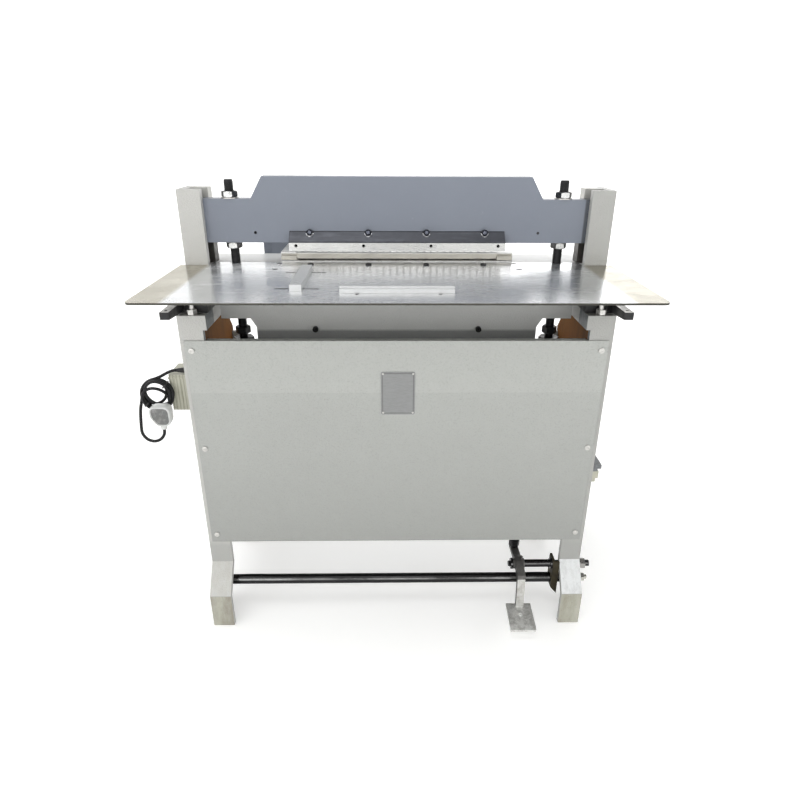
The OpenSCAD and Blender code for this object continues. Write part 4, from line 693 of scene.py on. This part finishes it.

# ---- Maker's plate ----
# A bare plate of brushed aluminium with a rolled rim and a fine dark line round its face. Four rivets hold it in
# the middle of the cover.
plate_metal = Finish("plate_metal", (0.275, 0.28, 0.28), 0.42, 1.0)
plate_metal.mottle((0.21, 0.21, 0.21), 0.4, 0.7, 0.6, 90, stretch=(1, 1, 14), detail=3)
plate_metal.polish(120, 0.32, 0.5, stretch=(0.3, 1, 12))
plate_x, plate_z, plate_w, plate_h, plate_y = 0.0012, 0.6105, 0.0745, 0.101, cover_low.y
rim_inset, sheet_thickness, line_inset, plate_corner, corner_steps = 0.0022, 0.0009, 0.0036, 0.004, 7
past_line = plate_metal.sum(
    "MAXIMUM", plate_metal.sum("SUBTRACT", plate_metal.away_from("X", plate_x), plate_w/2 - line_inset),
    plate_metal.sum("SUBTRACT", plate_metal.away_from("Z", plate_z), plate_h/2 - line_inset))
plate_metal.tint(plate_metal.both(plate_metal.span(past_line, -0.0006, -0.0003, 0, 1),
                                  plate_metal.span(past_line, 0.0003, 0.0006, 1, 0)), (0.075, 0.075, 0.078))
plate_parts = []
for inset, thick, y0 in ((0.0, sheet_thickness, 0.0), (rim_inset, 0.0004, sheet_thickness)):
    half_w, half_h, radius = plate_w/2 - inset, plate_h/2 - inset, plate_corner - inset/2
    outline = []
    for cx, cz, start in ((1, 1, 0), (-1, 1, 90), (-1, -1, 180), (1, -1, 270)):
        for k in range(corner_steps):
            a = math.radians(start + 15*k)
            outline.append((plate_x + cx*(half_w - radius) + radius*math.cos(a),
                            plate_z + cz*(half_h - radius) + radius*math.sin(a)))
    n = len(outline)
    front = [(x, plate_y - y0 - thick, z) for x, z in outline]
    back = [(x, plate_y - y0 + 0.00005, z) for x, z in outline]
    plate_parts.append((front + back, [tuple(range(n)), tuple(reversed(range(n, 2*n)))]
                        + [(k, (k + 1) % n, (k + 1) % n + n, k + n) for k in range(n)]))
piece("maker_plate", *merged(plate_parts), plate_metal, "frame", "guide_aluminium")
rivet = Hardware("rivets", {"Radius": 0.0021})
rivet_ball = rivet.form("MeshUVSphere", Segments=20, Rings=12, Radius=rivet.given["Radius"])
rivet.repeat(rivet.form("Transform", Geometry=rivet_ball, Scale=(1, 1, 0.5)))
rivet_inset, rivet_stand_off = 0.0045, 0.0012
bake("plate_rivets", rivet,
     [(plate_x + sx*(plate_w/2 - rivet_inset), plate_y - rivet_stand_off, plate_z + sz*(plate_h/2 - rivet_inset))
      for sx in (-1, 1) for sz in (-1, 1)],
     {"Radius": 0.0024}, zinc, "frame", way=(0, -1, 0), smooth=True)

# ---- Bed and drive shelf ----
# The bed is a welded box of plate under the die, in the same textured enamel. Its top is milled for the table
# and the die, and left bright. The shelf for the drive is painted like it.
bed_enamel = textured_enamel("bed_enamel", (0.50, 0.505, 0.495), 380)
shaded = bed_enamel.span(bed_enamel.along("Z"), 0.726, 0.720, 0, 0.6)
bed_enamel.tint(shaded, (0.06, 0.063, 0.07))
milled_top = bed_enamel.both(bed_enamel.facing("Z", 0.7, 0.9), bed_enamel.above("Z", 0.8642))
bed_enamel.tint(milled_top, (0.86, 0.86, 0.85))
paint_node(bed_enamel, "bed", "drive_shelf")

# ---- Levelling bolts ----
# Zinc plated hexagon bolts with lock nuts. They stand in the side frames' shelves and hold up the front of the
# table, which is levelled with them.
paint_node(zinc, "levelling_bolts")

# ---- Upper beam ----
# Heavy plate in blue-grey enamel, pulled down by the two rods. Next to the columns it carries a band of painted
# shadow, and its two pin holes at the shoulders are painted near black as the shade inside them.
blue_enamel = Finish("blue_enamel", (0.178, 0.198, 0.238), 0.42, Coat_Weight=0.2, Coat_Roughness=0.3).soften(0.0012)
blue_enamel.mottle((0.160, 0.177, 0.222), 0.35, 0.7, 0.4, 5, detail=6)
blue_enamel.mottle((0.34, 0.36, 0.40), 0.62, 0.76, 0.5, 70, detail=8, roughness=0.75)
blue_enamel.polish(50, 0.36, 0.52)
blue_enamel.bump(520, 0.0002, 0.5, detail=2)
beam_x, pin_hole_x, pin_hole_z, pin_hole_radius = blue_enamel.along("X"), 0.304, 0.935, 0.003
# Painted shadow: a dark band where the beam meets the columns' edges
column_shadow = blue_enamel.sum("MAXIMUM", blue_enamel.span(beam_x, 0.3990, 0.4020),
                            blue_enamel.span(beam_x, -0.4080, -0.4100))
blue_enamel.tint(blue_enamel.sum("MULTIPLY", column_shadow, 0.85), (0.035, 0.04, 0.047))
# Painted shade: a near black disc at each pin hole
pin_hole_shade = blue_enamel.sum("MAXIMUM", *(blue_enamel.spot("X", "Z", x, pin_hole_z, pin_hole_radius)
                                         for x in (pin_hole_x, -pin_hole_x)))
blue_enamel.tint(pin_hole_shade, (0.01, 0.01, 0.012))
paint_node(blue_enamel, "upper_beam", "rear_bracket")

# ---- Table ----
# Polished stainless sheet with fine brush lines from left to right and light scratches from paper and tools.
# Oil and hands have yellowed its wings outside the columns.
wing_inner, wing_outer, table_upper_face = 0.400, 0.412, 0.8688
table_steel = Finish("table_steel", (0.93, 0.935, 0.94), 0.24, 1.0, Anisotropic=0.9)
brush_way = table_steel.node("ShaderNodeTangent")
brush_way.direction_type, brush_way.axis = "RADIAL", "X"
table_steel.tree.links.new(brush_way.outputs["Tangent"], table_steel.shader.inputs["Tangent"])
brush = table_steel.grain(60, stretch=(0.6, 22, 1), detail=5, roughness=0.6)
table_steel.tint(table_steel.span(brush, 0.35, 0.7, 0, 0.3), (0.78, 0.785, 0.79))
smears = table_steel.grain(7, stretch=(0.8, 1.4, 1), detail=8, roughness=0.7)
table_steel.tint(table_steel.span(smears, 0.5, 0.72, 0, 0.4), (0.70, 0.705, 0.70))
beside_die = table_steel.span(table_steel.away_from("X"), 0.240, 0.330, 0, 0.8)
table_steel.tint(beside_die, (0.80, 0.815, 0.83))
wings = table_steel.span(table_steel.away_from("X"), wing_inner, wing_outer, 0, 0.9)
table_steel.tint(wings, (0.44, 0.41, 0.33))
table_steel.polish(table_steel.sum("ADD", table_steel.sum("MULTIPLY", smears, 0.6),
                                   table_steel.sum("MULTIPLY", brush, 0.4)), 0.17, 0.34)
# Painted shade: the sheet's edges and the walls of its slots are near black
edge_shade = table_steel.both(table_steel.facing("Z", 0.6, 0.3), table_steel.below("Z", table_upper_face))
table_steel.tint(edge_shade, (0.07, 0.068, 0.06))
table_steel.bump(brush, 0.00003, 0.4)
scratches = table_steel.grain(18, stretch=(1, 30, 1), detail=9, roughness=0.8, distortion=1.2)
table_steel.bump(table_steel.span(scratches, 0.64, 0.68), 0.00003, 0.3)
paint_node(table_steel, "table")

# ---- Black fittings ----
# Table screws, rod couplings, link rod, the trip lever's bracket and the guides' nuts: turned or pressed steel,
# chemically blackened and oiled.
black_steel = Finish("black_steel", (0.012, 0.012, 0.013), 0.34, 0.4).soften(0.0007)
black_steel.mottle((0.06, 0.057, 0.054), 0.58, 0.78, 0.5, 45, detail=7, roughness=0.7)
black_steel.polish(70, 0.28, 0.52).bump(500, 0.0001, 0.5)
paint_node(black_steel, "table_screws", "rod_couplings", "link_rod", "trip_bracket", "guide_nuts", "lay_nuts")

# ---- Table arms ----
# A black steel block on each side frame's shelf, with a tapered bar that reaches forward under the table. The
# bars carry a painted highlight along the top.
arm_steel = Finish("arm_steel", (0.016, 0.016, 0.017), 0.4, 0.3).soften(0.0009)
# Painted highlight on the front of the bars' upper faces, broken up by a grain
rail_top = arm_steel.both(arm_steel.facing("Z", 0.5, 0.9), arm_steel.below("Y", -0.150))
arm_highlight_grain = arm_steel.span(arm_steel.grain(30, stretch=(1, 0.3, 1), detail=8, roughness=0.75), 0.32, 0.55)
arm_steel.tint(arm_steel.both(rail_top, arm_highlight_grain), (0.46, 0.45, 0.42))
arm_steel.mottle((0.08, 0.075, 0.07), 0.62, 0.74, 0.5, 60, detail=8, roughness=0.8)
arm_steel.polish(70, 0.3, 0.5)
paint_node(arm_steel, "left_table_arm", "right_table_arm")

# ---- Cap screws ----
# Socket head cap screws of blackened steel. Key and hand have polished the four in the punch clamp, and the
# bed's two are black all over. The clamp screws' faces carry painted shade, with a lighter grey-blue middle.
screw_spots, screw_z, screw_rim = (-0.1875, -0.0625, 0.0625, 0.1875), 0.937, 0.0068
socket_z, socket_radius = 0.9374, 0.0037
screw_steel = Finish("screw_steel", (0.13, 0.13, 0.14), 0.22, 1.0).soften(0.0008)
screw_steel.mottle((0.05, 0.05, 0.055), 0.45, 0.68, 1, 160, detail=6)
screw_steel.polish(240, 0.15, 0.36)
# Painted shade: each clamp screw's face is a near black disc with a lighter grey-blue middle
for x in screw_spots:
    screw_steel.tint(screw_steel.spot("X", "Z", x, screw_z, screw_rim), (0.018, 0.02, 0.026))
    screw_steel.tint(screw_steel.spot("X", "Z", x, socket_z, socket_radius), (0.16, 0.17, 0.21))
paint_node(screw_steel, "clamp_screws")
bed_screw_steel = Finish("bed_screw_steel", (0.014, 0.014, 0.015), 0.35, 0.5).soften(0.0006)
bed_screw_steel.mottle((0.04, 0.04, 0.04), 0.5, 0.7, 0.6, 200, detail=6)
bed_screw_steel.polish(240, 0.25, 0.45)
paint_node(bed_screw_steel, "bed_bolts")

# ---- Tie bar and pedal stud ----
# Drawn steel bar, blackened: the tie bar between the legs, with its end bolts, and the stud that carries the
# pedal, with its spacer tube. Both carry a painted highlight along one line of their upper front.
bar_steel = Finish("bar_steel", (0.022, 0.022, 0.023), 0.16, 0.85)
bar_steel.mottle((0.10, 0.097, 0.09), 0.60, 0.78, 0.6, 26, stretch=(0.5, 1, 1), detail=8, roughness=0.75)
# Painted highlight along the bars' upper front, broken up by a grain
highlight_line = bar_steel.both(bar_steel.facing("Z", 0.26, 0.40), bar_steel.facing("Z", 0.80, 0.64),
                          bar_steel.facing("Y", -0.3, -0.55))
bar_highlight_grain = bar_steel.span(bar_steel.grain(22, stretch=(0.35, 1, 1), detail=8, roughness=0.7), 0.36, 0.60, 0.15, 1)
bar_steel.tint(bar_steel.both(highlight_line, bar_highlight_grain), (0.235, 0.235, 0.235))
# Outside the leg the tie bar's end bolt is bright, and so is the stud's nut
leg_outside, tie_bar_top, stud_low, nut_outside = 0.4595, 0.110, 0.120, 0.4725
past_leg = bar_steel.above("X", leg_outside)
bar_steel.tint(bar_steel.both(past_leg, bar_steel.below("Z", tie_bar_top)), (0.50, 0.49, 0.45))
bar_steel.tint(bar_steel.both(past_leg, bar_steel.above("Z", stud_low), bar_steel.below("X", nut_outside)),
               (0.34, 0.335, 0.32))
bar_steel.polish(90, 0.12, 0.28, stretch=(1, 3, 3))
paint_node(bar_steel, "tie_bar", "pedal_stud")

# ---- Guide posts ----
# Two square posts of dark steel behind the beam's ends guide it against the columns. Their upper ends are lighter.
post_top = 1.0005
post_steel = Finish("post_steel", (0.075, 0.070, 0.062), 0.4, 0.5).soften(0.001)
post_steel.mottle((0.032, 0.030, 0.027), 0.42, 0.72, 1, 30, stretch=(1, 1, 0.2), detail=7)
post_steel.tint(post_steel.above("Z", post_top), (0.47, 0.465, 0.44))
post_steel.polish(90, 0.3, 0.55)
paint_node(post_steel, "guide_posts")

# ---- Punch and die set ----
# Ground tool steel. The punches are hardened pins in the punch bar, and the paper goes in between the die and
# the guide plate. The bar's four tapped holes, for a stripper, are painted near black as the shade inside them.
ground_steel = Finish("ground_steel", (0.62, 0.62, 0.61), 0.26, 1.0, Anisotropic=0.2)
grind = ground_steel.grain(90, stretch=(0.5, 1, 9), detail=4)
ground_steel.tint(ground_steel.span(grind, 0.4, 0.7, 0, 0.5), (0.52, 0.52, 0.51))
ground_steel.mottle((0.40, 0.39, 0.36), 0.56, 0.75, 0.35, 14, detail=7)
ground_steel.polish(grind, 0.2, 0.42).bump(grind, 0.00003, 0.5)
tapped_spots, tapped_z, tapped_radius = (-0.216, -0.072, 0.072, 0.216), 0.911, 0.0033
# Painted shade: a near black disc at each tapped hole
for x in tapped_spots:
    ground_steel.tint(ground_steel.spot("X", "Z", x, tapped_z, tapped_radius), (0.004, 0.004, 0.004))
paint_node(ground_steel, "punch_bar", "punches", "die_plate", "main_shaft")

# ---- Guide plate and spacers ----
# Steel plate on two spacers over the die, ground and then dulled by oil and paper dust. Its front carries a
# ground lip that hangs a little lower and narrows the mouth for thin paper.
nose_steel = Finish("nose_steel", (0.70, 0.685, 0.635), 0.42, 0.55).soften(0.0008)
# Painted shade darkens and browns the front below its upper edge, and a painted highlight whitens the top edge
nose_steel.tint(nose_steel.span(nose_steel.along("Z"), 0.8882, 0.8862, 0, 0.8), (0.50, 0.475, 0.415))
nose_steel.tint(nose_steel.span(nose_steel.along("Z"), 0.8870, 0.8890, 0, 1), (0.88, 0.88, 0.87))
nose_steel.mottle((0.36, 0.35, 0.32), 0.48, 0.72, 0.5, 70, stretch=(0.3, 1, 5), detail=6)
nose_steel.polish(110, 0.32, 0.5, stretch=(0.4, 1, 6))
paint_node(nose_steel, "guide_plate", "die_spacers")
plate_low, plate_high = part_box("guide_plate")
lip_x, lip_depth, lip_stand_off, lip_drop, lip_bevel, lip_round = 0.2205, 0.006, 0.0004, 0.0016, 0.0008, 0.0036
lip_back, lip_front = plate_low.y + lip_depth, plate_low.y - lip_stand_off
lip_low, lip_high = plate_low.z - lip_drop, plate_high.z
lip_profile = [(lip_back, lip_low), (lip_front + lip_bevel, lip_low), (lip_front, lip_low + lip_bevel)]
for k in range(7):
    angle = math.radians(15*k)
    lip_profile.append((lip_front + lip_round*(1 - math.cos(angle)), lip_high - lip_round*(1 - math.sin(angle))))
lip_profile.append((lip_back, lip_high))
lip_count = len(lip_profile)
lip_points = [(side*lip_x, y, z) for side in (-1, 1) for y, z in lip_profile]
lip_faces = [tuple(range(lip_count)), tuple(reversed(range(lip_count, 2*lip_count)))]
lip_faces += [(k, k + lip_count, (k + 1) % lip_count + lip_count, (k + 1) % lip_count) for k in range(lip_count)]
piece("guide_lip", lip_points, lip_faces, nose_steel, "frame", "bright_steel")

# ---- Punch clamp ----
# A dark milled wedge in front of the beam, over the punch bar. Four cap screws hold it against the beam, each in
# a counterbore painted near black as shade, with a painted highlight on its lower wall.
clamp_chamfer_z, bore_z, bore_radius, bright_below = 0.9374, 0.9368, 0.0083, 0.9350
clamp_steel = Finish("clamp_steel", (0.054, 0.057, 0.067), 0.4, 0.6).soften(0.0008)
clamp_steel.mottle((0.10, 0.105, 0.12), 0.5, 0.75, 0.6, 50, stretch=(0.4, 1, 3), detail=6)
clamp_steel.polish(100, 0.3, 0.5)
# Painted shade: the band above the chamfer is near black
clamp_steel.tint(clamp_steel.above("Z", clamp_chamfer_z), (0.012, 0.013, 0.016))
for x in screw_spots:
    # Painted shade in each counterbore, and a painted highlight on its lower wall
    bore_shade_and_glint = clamp_steel.spot("X", "Z", x, bore_z, bore_radius)
    clamp_steel.tint(bore_shade_and_glint, (0.010, 0.011, 0.013))
    clamp_steel.tint(clamp_steel.both(bore_shade_and_glint, clamp_steel.below("Z", bright_below)), (0.85, 0.86, 0.88))
paint_node(clamp_steel, "punch_clamp")

# ---- Nuts ----
# Hexagon nuts, turned to a 30 degree chamfer on both faces. Those above and below the beam are zinc plated, with
# washers, and the lock nuts lower down are black. One tree makes every size.
nut = Hardware("hexagon_nuts", {"Across Flats": 0.03, "Height": 0.016, "Bore": 0.0201})
nut_af, nut_height, nut_bore = (nut.given[label] for label in ("Across Flats", "Height", "Bore"))
corner_share, chamfer_share, chamfer_rise = 0.57735, 0.475, math.tan(math.radians(30))
nut_form = nut.form("MeshCylinder", Vertices=6, Radius=nut.sum("MULTIPLY", nut_af, corner_share), Depth=nut_height)
for flip in (1, -1):
    # A cone whose side passes through the face's edge circle, so that the corners come off
    face_radius = nut.sum("MULTIPLY", nut_af, chamfer_share)
    cone = nut.form("MeshCone", Vertices=64, Radius_Top=face_radius,
                    Radius_Bottom=nut.sum("ADD", face_radius, nut.sum("DIVIDE", nut_height, chamfer_rise)),
                    Depth=nut_height)
    cone = nut.form("Transform", Geometry=cone, Translation=nut.vector(Z=nut.sum("MULTIPLY", nut_height, -0.5)))
    if flip < 0:
        cone = nut.form("Transform", Geometry=cone, Rotation=(math.pi, 0, 0))
    nut_form = nut.boolean("INTERSECT", cone, nut_form)
nut_drill = nut.form("MeshCylinder", Vertices=48, Radius=nut.sum("MULTIPLY", nut_bore, 0.5),
                     Depth=nut.sum("MULTIPLY", nut_height, 1.5))
nut.repeat(nut.boolean("DIFFERENCE", nut_form, nut_drill))

# The front flats keep the zinc's colour; the other faces are painted dark as shade
nut_zinc = Finish("nut_zinc", (0.66, 0.665, 0.66), 0.24, 1.0).soften(0.0007)
nut_zinc.tint(nut_zinc.facing("Y", -0.93, -0.8), (0.115, 0.115, 0.12))
nut_zinc.mottle((0.20, 0.20, 0.19), 0.5, 0.7, 0.55, 170, detail=7)
nut_zinc.polish(220, 0.2, 0.4)
rod_spots = [(side*0.355, -0.027) for side in (-1, 1)]
nut_across, rod_bore, thin_nut, thick_nut = 0.030, 0.0201, 0.0125, 0.016
nuts_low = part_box("rod_nuts")[0]
bake("rod_nuts_cut", nut, [(x, y, z) for x, y in rod_spots for z in (0.914 - 0.00675, 1.0065 + 0.00625)],
     {"Across Flats": nut_across, "Height": thin_nut, "Bore": rod_bore}, nut_zinc, "ram",
     stands_for=("rod_nuts",))
bake("rod_lock_nuts", nut, [(x, y, nuts_low.z + thick_nut/2) for x, y in rod_spots],
     {"Across Flats": nut_across, "Height": thick_nut, "Bore": rod_bore}, black_steel, "ram")
washers, washer_hole, washer_radius, washer_bevel = [], 0.01005, 0.0185, 0.0003
for x, y in rod_spots:
    for low, thick in ((1.004, 0.0025), (0.9136, 0.0004)):
        washers.append(turned([(washer_hole, low), (washer_radius - washer_bevel, low),
                               (washer_radius, low + washer_bevel), (washer_radius, low + thick - washer_bevel),
                               (washer_radius - washer_bevel, low + thick), (washer_hole, low + thick),
                               (washer_hole, low)], (x, y, 0), "Z", 48))
piece("rod_washers", *merged(washers), zinc, "ram", "zinc_steel")

# ---- Pull rods ----
# M20 studs, blackened, with a rolled thread from end to end. They pull the beam down. One tree winds the
# thread's ridge round a plain core.
thread = Hardware("rolled_thread", {"Outer Radius": 0.01, "Depth": 0.0013, "Pitch": 0.0025, "Length": 0.3})
thread_radius, thread_depth, thread_pitch, thread_length = (
    thread.given[label] for label in ("Outer Radius", "Depth", "Pitch", "Length"))
thread_turns = thread.sum("DIVIDE", thread_length, thread_pitch)
thread_middle = thread.sum("SUBTRACT", thread_radius, thread_depth)
thread.repeat(thread.wound(thread_turns, thread_middle, thread_length, thread_depth, 26, 4))
rod_low, rod_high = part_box("pull_rods")
bake("rod_threads", thread, [(x, y, rod_low.z + 0.0016) for x, y in rod_spots],
     {"Outer Radius": 0.00995, "Depth": 0.0011, "Pitch": 0.0025, "Length": rod_high.z - rod_low.z - 0.0045},
     black_steel, "ram")
core_radius = 0.0091
core_profile = [(0.0, rod_low.z), (0.0087, rod_low.z), (core_radius, rod_low.z + 0.001),
                (core_radius, rod_high.z - 0.0025), (0.0085, rod_high.z - 0.0003), (0.0078, rod_high.z),
                (0.0, rod_high.z)]
rod_cores = [turned(core_profile, (x, y, 0), "Z", 40) for x, y in rod_spots]
piece("rod_cores", *merged(rod_cores), black_steel, "ram", "dark_steel", stands_for=("pull_rods",))

# ---- Yokes, bearings, flywheel and clutch ----
# Castings in dark paint with machined bores, on a ground shaft. The eccentrics, the clutch ring and the trip
# lever are machined steel, dulled by use.
casting = Finish("casting", (0.060, 0.062, 0.066), 0.62, 0.15)
casting.mottle((0.11, 0.105, 0.10), 0.5, 0.75, 0.5, 30, detail=8, roughness=0.7)
casting.polish(60, 0.5, 0.75).bump(casting.cells(650), 0.0003, 0.5)
paint_node(casting, "left_yoke", "right_yoke", "left_bearing", "right_bearing", "flywheel", "motor_pulley")
worn_steel = Finish("worn_steel", (0.36, 0.35, 0.34), 0.42, 0.9)
worn_steel.mottle((0.15, 0.14, 0.13), 0.45, 0.7, 0.75, 34, detail=8, roughness=0.75)
worn_steel.polish(80, 0.3, 0.6).bump(260, 0.0002, 0.5, detail=4)
paint_node(worn_steel, "eccentrics", "clutch_ring", "trip_lever")

# ---- Motor and belt ----
# A foot mounted motor in dark blue-grey enamel with cooling ribs, bolted to the shelf. A black rubber belt runs
# from its pulley to the flywheel.
belt_rubber = Finish("belt_rubber", (0.02, 0.02, 0.02), 0.65)
belt_rubber.mottle((0.05, 0.05, 0.05), 0.5, 0.7, 1, 300)
belt_rubber.bump(800, 0.0002)
paint_node(belt_rubber, "drive_belt")
motor_enamel = Finish("motor_enamel", (0.10, 0.13, 0.17), 0.38, Coat_Weight=0.2)
motor_enamel.mottle((0.05, 0.06, 0.08), 0.5, 0.72, 0.5, 40, detail=6)
motor_enamel.polish(70, 0.32, 0.5).bump(300, 0.0002, 0.5)
paint_node(motor_enamel, "motor")

# ---- Pedal ----
# A forged lever on a stud, lighter below its bend and painted dark as shade on its left-facing side, with a sheet
# steel foot pad. Its bracket is left in brown primer.
lever_bend = 0.1285
lever_steel = Finish("lever_steel", (0.155, 0.150, 0.145), 0.38, 0.6).soften(0.0012)
lever_steel.mottle((0.075, 0.072, 0.07), 0.45, 0.66, 0.7, 40, detail=8, roughness=0.75)
below_bend = lever_steel.below("Z", lever_bend)
lever_steel.tint(below_bend, (0.60, 0.60, 0.58))
lever_wear = lever_steel.span(lever_steel.grain(60, detail=9, roughness=0.8), 0.46, 0.66)
lever_steel.tint(lever_steel.both(below_bend, lever_wear), (0.36, 0.34, 0.31))
# Painted shade: the lever's left-facing side is near black
lever_steel.tint(lever_steel.facing("X", -0.6, -0.9), (0.028, 0.027, 0.026))
lever_steel.polish(80, 0.28, 0.5).bump(260, 0.0002, 0.5, detail=4)
paint_node(lever_steel, "pedal_lever")
pad_steel = Finish("pad_steel", (0.74, 0.74, 0.72), 0.36, 0.6).soften(0.0012)
pad_steel.mottle((0.33, 0.32, 0.30), 0.46, 0.60, 0.75, 60, detail=10, roughness=0.85)
pad_steel.mottle((0.20, 0.19, 0.17), 0.56, 0.70, 0.7, 17, detail=8, roughness=0.7)
pad_steel.polish(60, 0.28, 0.55).bump(160, 0.0003, 0.5, detail=5)
paint_node(pad_steel, "pedal_pad")
primer = Finish("primer", (0.036, 0.029, 0.013), 0.62, Specular_IOR_Level=0.3)
primer.mottle((0.016, 0.013, 0.010), 0.48, 0.66, 0.85, 34, detail=8, roughness=0.7)
primer.mottle((0.16, 0.10, 0.045), 0.62, 0.72, 0.6, 90, detail=8, roughness=0.8)
primer.polish(60, 0.5, 0.7)
paint_node(primer, "pedal_bracket")

# ---- Return spring ----
# A compression spring of round zinc plated wire, between the link rod's collar and the lug that guides the rod.
spring_wire = Finish("spring_wire", (0.45, 0.45, 0.45), 0.3, 1.0)
spring_wire.polish(400, 0.22, 0.4)
spring_wire.mottle((0.3, 0.28, 0.26), 0.5, 0.7, 1, 120)
spring = Hardware("coil_spring", {"Mean Radius": 0.0082, "Wire Radius": 0.0012, "Turns": 6.0, "Length": 0.05})
spring_sizes = [spring.given[label] for label in ("Turns", "Mean Radius", "Length", "Wire Radius")]
spring.repeat(spring.wound(*spring_sizes, 28, 10))
spring_low, spring_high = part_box("link_spring")
spring_x, spring_y = (spring_low.x + spring_high.x)/2, (spring_low.y + spring_high.y)/2
spring_length, wire_radius, link_rise = spring_high.z - spring_low.z, 0.0012, 0.0087
return_spring = bake("return_spring", spring, [(spring_x, spring_y, spring_low.z + wire_radius)],
                     {"Mean Radius": (spring_high.x - spring_low.x)/2 - wire_radius,
                      "Length": spring_length - 2*wire_radius},
                     spring_wire, "link", smooth=True, stands_for=("link_spring",))
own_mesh(return_spring)

# ---- Paper guides ----
# Milled aluminium bars, a side guide and a front lay, with the cutter's fine lines along them. Studs and nuts
# hold them in the table's slots.
guide_metal = Finish("guide_metal", (0.64, 0.65, 0.655), 0.42, 0.55).soften(0.0007)
guide_lines = guide_metal.grain(180)
guide_metal.tint(guide_metal.span(guide_lines, 0.4, 0.7, 0, 0.5), (0.62, 0.62, 0.62))
guide_metal.polish(guide_lines, 0.36, 0.52).bump(guide_lines, 0.00004, 0.5)
paint_node(guide_metal, "side_guide", "lay_bar")

# ---- Electrical boxes ----
# A ribbed junction box of cream plastic on the left side and a switch box on the right, which has a grey hood
# over its red start button.
cream = Finish("cream_plastic", (0.47, 0.465, 0.385), 0.45)
cream.mottle((0.36, 0.35, 0.27), 0.5, 0.72, 0.5, 30, detail=7)
# Painted shade: dark vertical lines between the junction box's ribs, on its front faces
rib_shade_lines = cream.span(cream.sum("PINGPONG", cream.along("X"), 0.0036), 0.0006, 0.0016, 0.55, 0)
cream.tint(cream.both(rib_shade_lines, cream.below("X", 0.0), cream.facing("Y", -0.5, -0.9)), (0.20, 0.195, 0.14))
cream.polish(80, 0.38, 0.55).bump(500, 0.0001)
paint_node(cream, "junction_box", "switch_box")
hood_plastic = Finish("hood_plastic", (0.19, 0.20, 0.21), 0.5)
hood_plastic.mottle((0.13, 0.135, 0.14), 0.5, 0.7, 1, 60)
hood_plastic.bump(500, 0.0001)
paint_node(hood_plastic, "switch_hood")
button_plastic = Finish("button_plastic", (0.42, 0.05, 0.035), 0.3)
button_plastic.mottle((0.30, 0.03, 0.02), 0.5, 0.7, 0.6, 90)
button_plastic.polish(120, 0.24, 0.4)
paint_node(button_plastic, "push_button")
